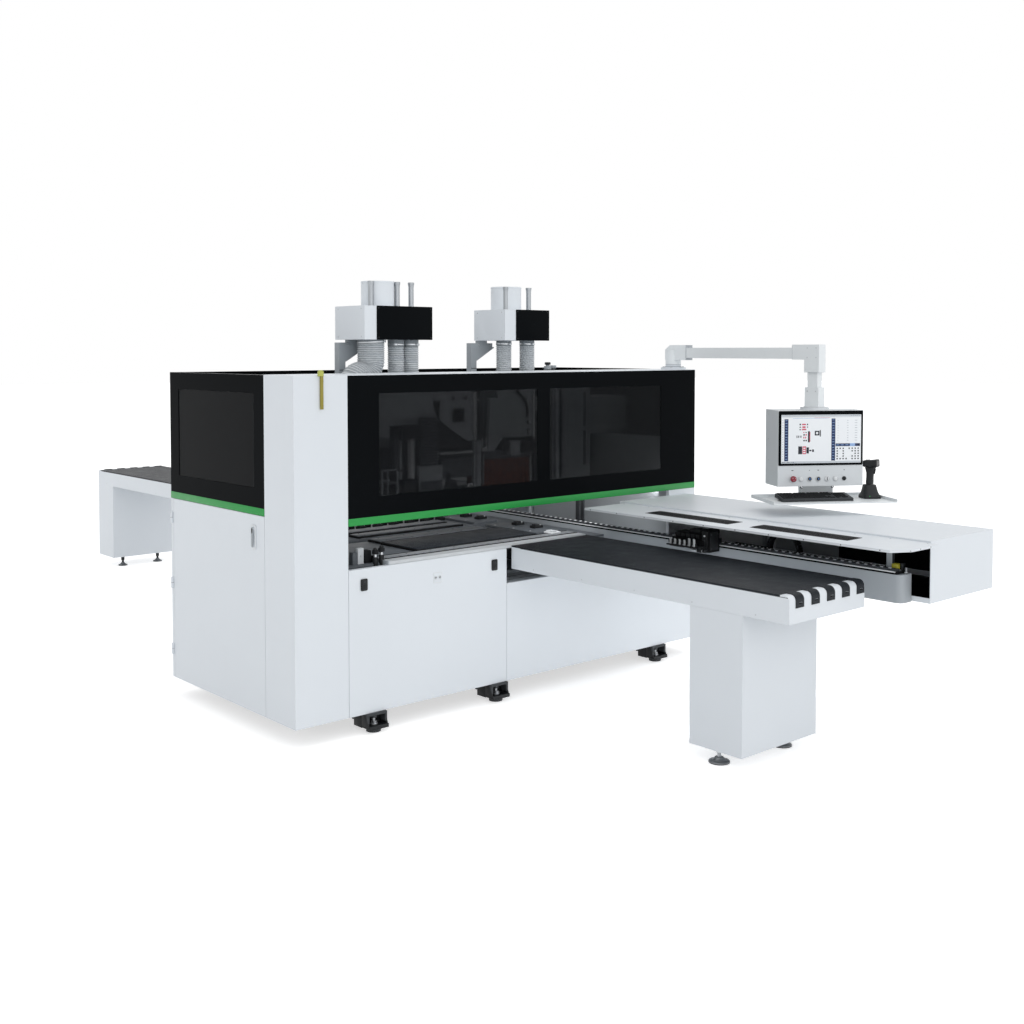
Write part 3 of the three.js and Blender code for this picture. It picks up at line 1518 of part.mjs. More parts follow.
function buildUpperUnits(cabinet) {
  const units = { a: unitA, b: unitB };
  for (const [letter, unit] of Object.entries(units)) {
    const origin = [unit.plate[0], carriageFront, unit.plateBottom];
    let shape = carriage(unit, letter);
    if (letter === "a") {
      const x = unit.plate[1] - plateCut * 3 / 2;
      const z = unit.plateTop - plateCut * 3 / 2;
      shape = cut(shape,
        block(x, x + plateCut, carriageFront - overrun, carriageBack + overrun, z, z + plateCut));
    }
    addNode(cabinet, `upper_carriage_${letter}`, greyPaint, shape, origin);
    addNode(cabinet, `dust_box_${letter}`, whitePaint, dustBox(unit, letter),
      [unit.spigot, spigotY, dustBoxBottom]);
  }
  for (const [name, hose] of Object.entries(hoses)) {
    addNode(cabinet, name, palePlastic, ribbedHose(hose), [hose.x, hoseY, dustBoxBottom]);
  }

  const plateBack = carriageFront - seam;
  const plateFront = plateBack - headPlate;
  const headARight = headALeft + headAWidth;
  const headAFront = plateBack - headADepth;
  const partsA = [
    block(headALeft, headARight, plateFront, plateBack, headABottom, headATop),
    block(headALeft, headARight, headAFront, plateBack, headABottom, headMotorBase + overrun),
  ];
  for (let i = 0; i < headMotorCount; i += 1) {
    const x = headALeft + headAWidth * ((i + 0.5) / headMotorCount);
    partsA.push(post(x, headAFront + headMotorRadius * 3 / 2, headMotorRadius, headMotorBase, headMotorTop));
  }
  for (let i = 0; i < drillTipCount; i += 1) {
    const x = headALeft + headAWidth * ((i + 0.5) / drillTipCount);
    partsA.push(post(x, headAFront + headMotorRadius * 3 / 2, drillTipRadius, headABottom - drillTipLength,
      headABottom + overrun, coarseSides));
  }
  addNode(cabinet, "drill_head_a", darkPaint, join(partsA), [headALeft, plateBack, headABottom]);

  const skirtTop = skirtBottom + skirtHeight;
  const headBFront = plateBack - headBDepth;
  const headBRight = headBLeft + headBWidth;
  const partsB = [
    block(headBLeft, headBRight, headBFront, plateBack, headBBottom, headBTop),
    block(skirtLeft, headBLeft + overrun, skirtFront, plateBack, skirtTop + seam, headBBottom + skirtWall),
    block(headBLeft, skirtLeft + skirtWidth, skirtFront, plateBack, skirtTop + seam, headBBottom + skirtWall),
    post(spindleX, (skirtFront + plateBack) / 2, spindleRadius, headBBottom - spindleDrop, headBTop),
  ];
  addNode(cabinet, "drill_head_b", darkPaint, join(partsB), [headBLeft, plateBack, headBBottom]);

  const skirtRight = skirtLeft + skirtWidth;
  const slits = [];
  for (let i = 1; i < skirtSlitCount; i += 1) {
    const x = skirtLeft + skirtWidth * (i / skirtSlitCount);
    slits.push(block(x - skirtSlit / 2, x + skirtSlit / 2, skirtFront - overrun,
      skirtFront + skirtWall + overrun, skirtBottom - overrun, skirtBottom + skirtSlitHeight));
  }
  const skirt = cut(
    block(skirtLeft, skirtRight, skirtFront, plateBack, skirtBottom, skirtTop),
    block(skirtLeft + skirtWall, skirtRight - skirtWall, skirtFront + skirtWall, plateBack - skirtWall,
      skirtBottom - overrun, skirtTop + overrun),
    slits,
  );
  addNode(cabinet, "dust_skirt_b", brownRubber, skirt, [skirtLeft, skirtFront, skirtBottom]);
}

function buildLowerUnit(cabinet) {
  const half = lowerCarriageWidth / 2;
  const railHalf = lowerRailWidth / 2 + overrun;
  const low = lowerRailTop + seam;
  const top = low + lowerCarriageHeight;
  const near = lowerSlotCentre - railHalf;
  const far = lowerSlotCentre + railHalf;
  addNode(cabinet, "lower_carriage", greyPaint,
    block(lowerUnitX - half, lowerUnitX + half, near, far, low, top), [lowerUnitX, lowerSlotCentre, low]);
  const headHalf = lowerHeadWidth / 2;
  const depthHalf = lowerHeadDepth / 2;
  const parts = [block(lowerUnitX - headHalf, lowerUnitX + headHalf, lowerSlotCentre - depthHalf,
    lowerSlotCentre + depthHalf, top + seam, lowerHeadTop)];
  for (let i = 0; i < lowerTipCount; i += 1) {
    const x = lowerUnitX - headHalf + lowerHeadWidth * ((i + 0.5) / lowerTipCount);
    parts.push(post(x, lowerSlotCentre, lowerTipRadius, lowerHeadTop - overrun, lowerTipTop, coarseSides));
  }
  addNode(cabinet, "lower_head", darkPaint, join(parts), [lowerUnitX, lowerSlotCentre, top]);
}

const cabinet = group(machine, 0, 0, 0);
buildBed(cabinet);
buildGantry(cabinet);
buildCorner(cabinet);
buildFasciae(cabinet);
buildRoofStrip(cabinet);
buildLowerCovers(cabinet);
buildAccessCover(cabinet);
buildElectricalBay(cabinet);
buildWorkTable(cabinet);
buildClampBeam(cabinet);
buildHousings(cabinet);
buildClamp(cabinet, "front", clampFrontStart);
buildClamp(cabinet, "rear", clampRearStart);
buildTables(cabinet);
buildLamp(cabinet);
buildArm(cabinet);
buildUpperUnits(cabinet);
buildLowerUnit(cabinet);

// The origin is the middle of the whole machine's footprint, on the floor
machine.updateMatrixWorld(true);
const extent = new THREE.Box3().setFromObject(machine);
cabinet.position.set(-(extent.min.x + extent.max.x) / 2, -(extent.min.y + extent.max.y) / 2, -extent.min.z);

export default machine;
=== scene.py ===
import json
import math
import random

import bmesh
import bpy
from mathutils import Matrix, Vector


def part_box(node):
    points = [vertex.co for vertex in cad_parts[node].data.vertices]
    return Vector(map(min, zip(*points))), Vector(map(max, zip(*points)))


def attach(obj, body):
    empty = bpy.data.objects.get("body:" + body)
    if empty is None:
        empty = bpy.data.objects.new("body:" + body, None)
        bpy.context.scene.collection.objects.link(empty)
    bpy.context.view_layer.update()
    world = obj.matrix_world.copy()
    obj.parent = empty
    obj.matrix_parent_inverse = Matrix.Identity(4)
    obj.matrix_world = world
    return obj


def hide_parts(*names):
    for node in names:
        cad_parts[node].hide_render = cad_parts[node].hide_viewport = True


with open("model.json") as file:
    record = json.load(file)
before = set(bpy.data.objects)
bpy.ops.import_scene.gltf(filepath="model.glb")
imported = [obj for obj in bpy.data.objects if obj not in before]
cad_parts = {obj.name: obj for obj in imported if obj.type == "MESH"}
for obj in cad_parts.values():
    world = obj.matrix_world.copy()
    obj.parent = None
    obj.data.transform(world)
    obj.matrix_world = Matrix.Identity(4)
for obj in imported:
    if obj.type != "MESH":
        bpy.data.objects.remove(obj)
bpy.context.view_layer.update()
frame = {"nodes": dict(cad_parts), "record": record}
nodes = frame["nodes"]
bpy.context.scene.view_settings.view_transform = "Standard"

# Places in millimetres from the cabinet's front left corner, which ORIGIN puts where the frame has it
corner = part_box("corner_column")[0]
ORIGIN = Matrix.Translation((corner.x, corner.y, 0))
MILLIMETRES = Matrix.Scale(0.001, 4)
FORWARD, UP, DOWN = (0, -1, 0), (0, 0, 1), (0, 0, -1)
ARM_ROOT, PANEL_POST, PANEL_TURN = Vector((2830, 105, 0)), Vector((2800, -974, 0)), math.radians(-32.2)
ARM_REACH = PANEL_POST - ARM_ROOT
ARM = Matrix.Translation(ARM_ROOT) @ Matrix.Rotation(math.atan2(ARM_REACH.x, -ARM_REACH.y), 4, "Z")
PANEL = Matrix.Translation(PANEL_POST) @ Matrix.Rotation(PANEL_TURN, 4, "Z")
CABINET_DEPTH = 1304
BEAM_START, BEAM_END = -1895, 3199
TABLE_ENDS = {"infeed": -1846.4, "outfeed": 5653.4}
STRIP_LEFT, STRIP_PITCH, STRIP_COUNT = 1421, 118.75, 5

# The photograph's camera: its frame, focal length and horizon in pixels, its place in metres, its angles in degrees
IMAGE_SIZE, FOCAL, HORIZON, SENSOR = 1024, 1212.502, 397.5418, 36
EYE, EYE_TURN, EYE_TILT = (-3.00402, -5.00004, 1.92276), -41.2365, 2.2486

SHARP_ANGLE = math.radians(31)


# Finishes
def srgb(r, g, b):
    def linear(v):
        v /= 255
        return v / 12.92 if v <= 0.04045 else ((v + 0.055) / 1.055) ** 2.4

    return (linear(r), linear(g), linear(b), 1)


class Finish:
    """A node material: colour with slow variation, uneven gloss, fine relief and softened edges, which some finishes
    show lightly worn and painted lighter as a painted edge highlight.
    """

    named = {}  # Finishes by their name, which is also the material slot of a CAD part

    def __init__(self, name, color, rough=0.5, metal=0.0, specular=0.5, **more):
        self.material = bpy.data.materials.new(name)
        self.material.use_nodes = True
        self.tree = self.material.node_tree
        self.shader = self.tree.nodes["Principled BSDF"]
        self.place = self.node("ShaderNodeTexCoord").outputs["Object"]
        self.shader.inputs["Metallic"].default_value = metal
        self.shader.inputs["Specular IOR Level"].default_value = specular
        self.color = srgb(*color)
        self.named[name] = self
        self.vary(more.get("vary", 0.03), more.get("vary_scale", 1.3), more.get("stretch"))
        self.uneven(rough, more.get("rough_vary", 0.08), more.get("rough_scale", 14))
        self.relief(more.get("relief", 0.05), more.get("relief_scale", 420), more.get("stretch"),
                    more.get("edge", 1.5))
        if more.get("worn_and_highlit_edges"):
            self.worn_and_highlit_edges(more["worn_and_highlit_edges"])
        if "alpha" in more:
            self.shader.inputs["Alpha"].default_value = more["alpha"]
        if "coat" in more:
            self.shader.inputs["Coat Weight"].default_value = more["coat"]
            self.shader.inputs["Coat Roughness"].default_value = 0.08

    def node(self, kind, **values):
        made = self.tree.nodes.new(kind)
        for key, value in values.items():
            setattr(made, key, value)
        return made

    def join(self, output, socket):
        self.tree.links.new(output, socket)

    def noise(self, scale, detail=3.0, stretch=None):
        made = self.node("ShaderNodeTexNoise")
        made.inputs["Scale"].default_value = scale
        made.inputs["Detail"].default_value = detail
        if stretch:
            mapping = self.node("ShaderNodeMapping")
            mapping.inputs["Scale"].default_value = stretch
            self.join(self.place, mapping.inputs["Vector"])
            self.join(mapping.outputs["Vector"], made.inputs["Vector"])
        else:
            self.join(self.place, made.inputs["Vector"])
        return made.outputs["Fac"]

    def ramp(self, value, stops):
        made = self.node("ShaderNodeValToRGB")
        self.join(value, made.inputs["Fac"])
        made.color_ramp.elements[0].position, made.color_ramp.elements[0].color = stops[0]
        made.color_ramp.elements[1].position, made.color_ramp.elements[1].color = stops[-1]
        for position, color in stops[1:-1]:
            made.color_ramp.elements.new(position).color = color
        return made.outputs["Color"]

    def vary(self, share, scale, stretch):
        low = tuple(c * (1 - share) for c in self.color[:3]) + (1,)
        high = tuple(min(1, c * (1 + share)) for c in self.color[:3]) + (1,)
        self.base = self.ramp(self.noise(scale, 4, stretch), [(0.3, low), (0.7, high)])
        self.join(self.base, self.shader.inputs["Base Color"])

    def uneven(self, rough, share, scale):
        made = self.node("ShaderNodeMapRange")
        self.join(self.noise(scale), made.inputs["Value"])
        made.inputs["From Min"].default_value = 0.3
        made.inputs["From Max"].default_value = 0.7
        made.inputs["To Min"].default_value = max(0.02, rough - share / 2)
        made.inputs["To Max"].default_value = min(1, rough + share / 2)
        self.join(made.outputs["Result"], self.shader.inputs["Roughness"])

    def relief(self, strength, scale, stretch, edge):
        bump = self.node("ShaderNodeBump")
        bump.inputs["Strength"].default_value = strength
        bump.inputs["Distance"].default_value = 0.0006
        self.join(self.noise(scale, 2, stretch), bump.inputs["Height"])
        if edge:
            self.bevel = self.node("ShaderNodeBevel", samples=4)
            self.bevel.inputs["Radius"].default_value = edge / 1000
            self.join(self.bevel.outputs["Normal"], bump.inputs["Normal"])
        self.join(bump.outputs["Normal"], self.shader.inputs["Normal"])

    def worn_and_highlit_edges(self, color):
        # Edges where the bevel normal departs from the face normal take the bare-edge colour, broken up by noise
        # spots: partly worn paint, partly a painted edge highlight.
        dot = self.node("ShaderNodeVectorMath", operation="DOT_PRODUCT")
        self.join(self.bevel.outputs["Normal"], dot.inputs[0])
        self.join(self.node("ShaderNodeNewGeometry").outputs["Normal"], dot.inputs[1])
        edge = self.ramp(dot.outputs["Value"], [(0.8, (1, 1, 1, 1)), (0.97, (0, 0, 0, 1))])
        spots = self.ramp(self.noise(60), [(0.4, (0, 0, 0, 1)), (0.62, (0.7, 0.7, 0.7, 1))])
        both = self.node("ShaderNodeMix", data_type="RGBA", blend_type="MULTIPLY")
        both.inputs["Factor"].default_value = 1
        self.join(edge, both.inputs["A"])
        self.join(spots, both.inputs["B"])
        mix = self.node("ShaderNodeMix", data_type="RGBA")
        self.join(both.outputs["Result"], mix.inputs["Factor"])
        self.join(self.base, mix.inputs["A"])
        mix.inputs["B"].default_value = color
        self.base = mix.outputs["Result"]
        self.join(self.base, self.shader.inputs["Base Color"])


def lines(finish, scale, axis, strength, low=0.45, high=0.55):
    """Adds fine parallel grooves to a finish."""
    wave = finish.node("ShaderNodeTexWave", bands_direction=axis)
    wave.inputs["Scale"].default_value = scale
    wave.inputs["Distortion"].default_value = 0.3
    finish.join(finish.place, wave.inputs["Vector"])
    bump = finish.node("ShaderNodeBump")
    bump.inputs["Strength"].default_value = strength
    bump.inputs["Distance"].default_value = 0.0008
    finish.join(finish.ramp(wave.outputs["Fac"], [(low, (0, 0, 0, 1)), (high, (1, 1, 1, 1))]), bump.inputs["Height"])
    source = finish.shader.inputs["Normal"].links[0].from_socket
    finish.join(source, bump.inputs["Normal"])
    finish.join(bump.outputs["Normal"], finish.shader.inputs["Normal"])
    return finish


# Grey of bare metal on worn edges, which also serves as a painted edge highlight on dark finishes.
bare_and_highlit_edge = srgb(120, 124, 128)
WHITE = Finish("white_paint", (221, 226, 231), 0.42, specular=0.35, vary=0.012, relief=0.08)
GREY = Finish("grey_paint", (164, 170, 175), 0.48, specular=0.35, vary=0.03, relief=0.08)
DARK = Finish("dark_paint", (50, 53, 56), 0.5, specular=0.3, vary=0.08, worn_and_highlit_edges=bare_and_highlit_edge)
GLOSS = Finish("black_gloss", (14, 16, 18), 0.2, specular=0.01, vary=0.1, vary_scale=0.9, relief=0.02)
BLACK_METAL = Finish("black_metal", (27, 29, 31), 0.42, specular=0.25, vary=0.12, worn_and_highlit_edges=bare_and_highlit_edge)
ALLOY = Finish("white_alloy", (230, 234, 236), 0.4, specular=0.35, vary=0.015, relief=0.08)
PANEL_GREY = Finish("panel_grey", (212, 216, 219), 0.42, specular=0.35, vary=0.015, relief=0.08)
STEEL = Finish("steel", (196, 199, 202), 0.3, metal=0.9, vary=0.06, vary_scale=20, relief=0.1)
BRUSHED = Finish("brushed_steel", (168, 172, 176), 0.34, metal=0.85, vary=0.08, vary_scale=30,
                 stretch=(1, 0.05, 1), relief=0.25)
Finish("smoked_glass", (16, 18, 20), 0.06, specular=0.03, vary=0.05, relief=0.0, edge=0, alpha=0.8)
SCREEN_GLOSS = Finish("display_plastic", (18, 20, 23), 0.15, specular=0.2, vary=0.05, relief=0.02)
TOP = lines(Finish("table_top", (33, 37, 42), 0.46, specular=0.14, vary=0.07, vary_scale=2.2, relief=0.5,
                   relief_scale=900), 260, "X", 0.25)
BLACK = Finish("black_plastic", (33, 35, 37), 0.5, specular=0.3, vary=0.1, relief=0.3, relief_scale=700)
Finish("drive_plastic", (150, 154, 158), 0.5, vary=0.05, relief=0.2)
HOSE = Finish("hose_plastic", (168, 173, 177), 0.4, specular=0.45, vary=0.06, vary_scale=30, relief=0.1)
HOSE_RIB = Finish("hose_rib", (226, 229, 231), 0.3, specular=0.5, vary=0.04, vary_scale=30, relief=0.0, edge=0)
FOOT_STEEL = Finish("foot_steel", (124, 127, 130), 0.4, metal=0.8, vary=0.08, vary_scale=16, relief=0.12)
PIPE = Finish("pipe_steel", (158, 162, 166), 0.32, metal=0.85, vary=0.06, vary_scale=12, relief=0.1)
CUFF = Finish("hose_cuff", (132, 137, 141), 0.42, specular=0.4, vary=0.06, relief=0.15)
LAMP = Finish("lamp_plastic", (142, 130, 38), 0.3, vary=0.05, relief=0.05, coat=0.1)
LAMP_TOP = Finish("lamp_cap", (176, 180, 74), 0.3, vary=0.05, relief=0.05, coat=0.3)
RED = Finish("red_plastic", (136, 20, 44), 0.32, vary=0.05, relief=0.1)
lines(Finish("brown_rubber", (112, 58, 36), 0.7, specular=0.2, vary=0.2, vary_scale=12, relief=0.5), 120, "X", 0.8)
GREEN = Finish("green_paint", (39, 146, 68), 0.4, specular=0.3, vary=0.03, relief=0.08)
RUBBER = Finish("rubber", (24, 26, 28), 0.75, specular=0.2, vary=0.12, relief=0.5)
YELLOW = Finish("yellow_paint", (168, 160, 40), 0.42, vary=0.06, worn_and_highlit_edges=bare_and_highlit_edge)
BLUE = Finish("blue_lens", (60, 104, 160), 0.25, vary=0.05, coat=0.3)
PALE = Finish("pale_plastic", (222, 225, 227), 0.42, vary=0.03, relief=0.1)
MARK = Finish("printed_mark", (60, 64, 70), 0.6, vary=0.05, relief=0.0)
TABLE_GREY = Finish("table_grey", (82, 87, 92), 0.46, specular=0.35, vary=0.06, vary_scale=3, relief=0.15)
LIGHT_GREY = Finish("light_grey_paint", (196, 200, 203), 0.42, specular=0.35, vary=0.03, relief=0.08)
STRIP_GREY = lines(Finish("scale_strip", (140, 144, 148), 0.4, metal=0.2, vary=0.06, vary_scale=8, relief=0.15),
                   40, "X", 0.4)
# Deep black, also laid into holes, gaps, notches and recesses as painted shade.
BLACK_AND_PAINTED_SHADE = Finish("deep_black", (12, 13, 15), 0.6, specular=0.1, vary=0.15, relief=0.1)


def smoothing():
    """A modifier that shades curved CAD faces smoothly and keeps their real edges sharp."""
    group = bpy.data.node_groups.new("smooth_faces", "GeometryNodeTree")
    group.interface.new_socket("Geometry", in_out="INPUT", socket_type="NodeSocketGeometry")
    group.interface.new_socket("Geometry", in_out="OUTPUT", socket_type="NodeSocketGeometry")
    make = group.nodes.new
    start, end = make("NodeGroupInput"), make("NodeGroupOutput")
    bare = make("GeometryNodeRemoveAttribute")
    bare.inputs["Name"].default_value = "custom_normal"
    merge = make("GeometryNodeMergeByDistance")
    merge.inputs["Distance"].default_value = 0.00001
    faces, edges = make("GeometryNodeSetShadeSmooth"), make("GeometryNodeSetShadeSmooth")
    edges.domain = "EDGE"
    edges.inputs["Shade Smooth"].default_value = False
    angle, above = make("GeometryNodeInputMeshEdgeAngle"), make("FunctionNodeCompare")
    above.data_type, above.operation = "FLOAT", "GREATER_THAN"
    above.inputs[1].default_value = SHARP_ANGLE
    for a, b in [
        (start.outputs[0], bare.inputs["Geometry"]), (bare.outputs[0], merge.inputs["Geometry"]),
        (merge.outputs[0], faces.inputs["Geometry"]), (faces.outputs[0], edges.inputs["Geometry"]),
        (angle.outputs["Unsigned Angle"], above.inputs[0]), (above.outputs[0], edges.inputs["Selection"]),
        (edges.outputs[0], end.inputs[0]),
    ]:
        group.links.new(a, b)
    return group


smooth = smoothing()
for part in frame["record"]["subparts"]:
    shown = nodes[part["node"]]
    for place in shown.material_slots:
        place.material = Finish.named[part["material_slot"]].material
    shown.modifiers.new("smooth_faces", "NODES").node_group = smooth
for name, finish in {"panel_housing": PANEL_GREY, "clamp_rail": BRUSHED}.items():
    nodes[name].material_slots[0].material = finish.material


def ring(part, centre, u, v, sides, power=2):
    """Points round a centre on an ellipse with two half axes, or on a squarer form with a higher power."""
    points = []
    for t in (2 * math.pi * k / sides for k in range(sides)):
        c, s = (math.copysign(abs(w) ** (2 / power), w) for w in (math.cos(t), math.sin(t)))
        points.append(part.verts.new(centre + u * c + v * s))
    return points


def skin(part, a, b):
    """Faces that join two rings with the same number of points."""
    return [part.faces.new([a[i], a[(i + 1) % len(a)], b[(i + 1) % len(b)], b[i]]) for i in range(len(a))]


# Building pieces, in millimetres from the cabinet's front left corner
class Piece:
    """Gathers bevelled solids in one mesh that rides on a body."""

    def __init__(self, name, body, slot, place=Matrix()):
        self.name, self.body, self.slot, self.place = name, body, slot, place
        self.mesh = bmesh.new()
        self.finishes = []

    def take(self, part, finish, smooth_faces=True):
        used = finish if isinstance(finish, list) else [finish]
        self.finishes += [f for f in used if f not in self.finishes]
        for face in part.faces:
            face.material_index = self.finishes.index(used[face.material_index])
            face.smooth = smooth_faces
        part.transform(self.place)
        data = bpy.data.meshes.new("part")
        part.to_mesh(data)
        part.free()
        self.mesh.from_mesh(data)
        bpy.data.meshes.remove(data)

    def box(self, x, y, z, finish, round=1.5, steps=2, turn=None):
        part = bmesh.new()
        bmesh.ops.create_cube(part, size=1)
        middle = Vector([(v[0] + v[1]) / 2 for v in (x, y, z)])
        size = [abs(v[1] - v[0]) for v in (x, y, z)]
        for vertex in part.verts:
            vertex.co = Vector([c * s for c, s in zip(vertex.co, size)])
        if round:
            bmesh.ops.bevel(part, geom=part.edges[:], offset=min([round] + [s * 0.45 for s in size]), segments=steps,
                            profile=0.5, affect="EDGES")
        part.transform(Matrix.Translation(middle) @ (turn or Matrix()))
        self.take(part, finish)
        return self

    def boxes(self, rows, shift=0):
        """Boxes from rows of six limits, a finish and a rounding, moved along y by the shift."""
        for x0, x1, y0, y1, z0, z1, finish, round in rows:
            self.box((x0, x1), (y0 + shift, y1 + shift), (z0, z1), finish, round)
        return self

    def prism(self, outline, axis, low, high, finish, round=0, steps=2):
        part = bmesh.new()
        order = {"x": lambda u, v, w: (w, u, v), "y": lambda u, v, w: (u, w, v), "z": lambda u, v, w: (u, v, w)}[axis]
        face = part.faces.new([part.verts.new(order(u, v, low)) for u, v in outline])
        made = bmesh.ops.extrude_face_region(part, geom=[face])
        shift = Vector(order(0, 0, high - low))
        bmesh.ops.translate(part, vec=shift, verts=[g for g in made["geom"] if isinstance(g, bmesh.types.BMVert)])
        bmesh.ops.recalc_face_normals(part, faces=part.faces[:])
        if round:
            sharp = [e for e in part.edges if e.calc_face_angle(0) > 0.6]
            bmesh.ops.bevel(part, geom=sharp, offset=round, segments=steps, profile=0.5, affect="EDGES")
        self.take(part, finish)
        return self

    def turned(self, profile, finish, start, axis=(0, 0, 1), sides=32):
        """A turned solid. The profile lists radius and height pairs along the axis from start."""
        part = bmesh.new()
        rings = []
        for radius, height in profile:
            if radius <= 0:
                rings.append([part.verts.new((0, 0, height))])
            else:
                rings.append([part.verts.new((radius * math.cos(t), radius * math.sin(t), height))
                              for t in (2 * math.pi * i / sides for i in range(sides))])
        for a, b in zip(rings, rings[1:]):
            for i in range(sides):
                j = (i + 1) % sides
                corners = [a[i % len(a)], a[j % len(a)], b[j % len(b)], b[i % len(b)]]
                unique = list(dict.fromkeys(corners))
                if len(unique) > 2:
                    part.faces.new(unique)
        for ring in (rings[0], rings[-1]):
            if len(ring) > 2:
                part.faces.new(ring)
        bmesh.ops.recalc_face_normals(part, faces=part.faces[:])
        turn = Vector(axis).to_track_quat("Z", "Y").to_matrix().to_4x4()
        part.transform(Matrix.Translation(start) @ turn)
        self.take(part, finish)
        return self

    def rod(self, start, end, radius, finish, sides=24, round=0.8):
        axis = Vector(end) - Vector(start)
        length, r = axis.length, min(round, radius * 0.4)
        profile = [(0, 0), (radius - r, 0), (radius, r), (radius, length - r), (radius - r, length), (0, length)]
        return self.turned(profile, finish, start, axis, sides)

    def studs(self, xs, ys, zs, step, radius, finish, sides=16, round=0.8):
        """A short rod at each crossing of the places given, which stands out by the step."""
        for x in xs:
            for y in ys:
                for z in zs:
                    self.rod((x, y, z), Vector((x, y, z)) + Vector(step), radius, finish, sides, round)
        return self

    def bolt(self, at, axis, radius, finish=STEEL, head=None):
        """A hexagon head with its washer, standing on a face."""
        axis = Vector(axis).normalized()
        at = Vector(at)
        height = head or radius * 0.9
        self.rod(at, at + axis * radius * 0.25, radius * 1.35, finish, 20, radius * 0.08)
        self.rod(at + axis * radius * 0.2, at + axis * (radius * 0.25 + height), radius, finish, 6, radius * 0.12)
        return self

    def shell(self, part, rings, finish):
        """A closed form through rings of points."""
        for a, b in zip(rings, rings[1:]):
            skin(part, a, b)
        part.faces.new(rings[0])
        part.faces.new(rings[-1])
        bmesh.ops.recalc_face_normals(part, faces=part.faces[:])
        self.take(part, finish)
        return self

    def swept(self, path, radius, finish, sides=24):
        """A round form along a path."""
        part, rings, side = bmesh.new(), [], Vector((0, 1, 0))
        points = [Vector(p) for p in path]
        for point, before, after in zip(points, points[:1] + points, points[1:] + points[-1:]):
            along = (after - before).normalized()
            side = (side - along * side.dot(along)).normalized()
            rings.append(ring(part, point, side * radius, along.cross(side) * radius, sides))
        return self.shell(part, rings, finish)

    def loft(self, sections, finish, power=4.0, sides=40):
        """A smooth form through rounded sections, each a centre and two half axes."""
        part = bmesh.new()
        rings = [ring(part, Vector(centre), Vector(u), Vector(v), sides, power) for centre, u, v in sections]
        return self.shell(part, rings, finish)

    def done(self, *stands_for):
        data = bpy.data.meshes.new(self.name)
        self.mesh.transform(ORIGIN @ MILLIMETRES)
        self.mesh.to_mesh(data)
        self.mesh.free()
        data.set_sharp_from_angle(angle=SHARP_ANGLE)
        for finish in self.finishes:
            data.materials.append(finish.material)
        made = bpy.data.objects.new(self.name, data)
        bpy.context.scene.collection.objects.link(made)
        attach(made, self.body)
        if stands_for:
            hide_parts(*stands_for)
        return made


def arc(cx, cy, radius, start, end, steps):
    """Points of an arc, with its angles in degrees."""
    angles = [math.radians(start + (end - start) * i / steps) for i in range(steps + 1)]
    return [(cx + radius * math.cos(t), cy + radius * math.sin(t)) for t in angles]


def rounded(x0, x1, y0, y1, r, steps=5):
    return (arc(x1 - r, y1 - r, r, 0, 90, steps) + arc(x0 + r, y1 - r, r, 90, 180, steps)
            + arc(x0 + r, y0 + r, r, 180, 270, steps) + arc(x1 - r, y0 + r, r, 270, 360, steps))


# Camera, light and floor
camera = bpy.data.objects.new("camera", bpy.data.cameras.new("camera"))
bpy.context.scene.collection.objects.link(camera)
bpy.context.scene.camera = camera
camera.data.sensor_width = SENSOR
camera.data.lens = FOCAL / IMAGE_SIZE * SENSOR
camera.data.shift_y = (HORIZON - IMAGE_SIZE / 2) / IMAGE_SIZE
camera.data.clip_start, camera.data.clip_end = 0.1, 200
camera.matrix_world = (ORIGIN @ Matrix.Translation(EYE) @ Matrix.Rotation(math.radians(EYE_TURN), 4, "Z")
                       @ Matrix.Rotation(math.radians(90 - EYE_TILT), 4, "X"))


def seen_or_lit(tree, lit, seen):
    """Mixes two shaders: one for what the camera, glass or a mirror sees, the other for the light that it gives."""
    path = tree.nodes.new("ShaderNodeLightPath")
    first = tree.nodes.new("ShaderNodeMath")
    second = tree.nodes.new("ShaderNodeMath")
    first.operation = second.operation = "MAXIMUM"
    tree.links.new(path.outputs["Is Camera Ray"], first.inputs[0])
    tree.links.new(path.outputs["Is Glossy Ray"], first.inputs[1])
    tree.links.new(first.outputs[0], second.inputs[0])
    tree.links.new(path.outputs["Is Transmission Ray"], second.inputs[1])
    mix = tree.nodes.new("ShaderNodeMixShader")
    tree.links.new(second.outputs[0], mix.inputs[0])
    tree.links.new(lit.outputs[0], mix.inputs[1])
    tree.links.new(seen.outputs[0], mix.inputs[2])
    return mix


world = bpy.data.worlds.new("studio")
bpy.context.scene.world = world
world.use_nodes = True
tree = world.node_tree
lit = tree.nodes["Background"]
seen = tree.nodes.new("ShaderNodeBackground")
lit.inputs["Color"].default_value, lit.inputs["Strength"].default_value = (0.98, 0.99, 1, 1), 0.8
seen.inputs["Color"].default_value, seen.inputs["Strength"].default_value = (1, 1, 1, 1), 1
tree.links.new(seen_or_lit(tree, lit, seen).outputs[0], tree.nodes["World Output"].inputs["Surface"])

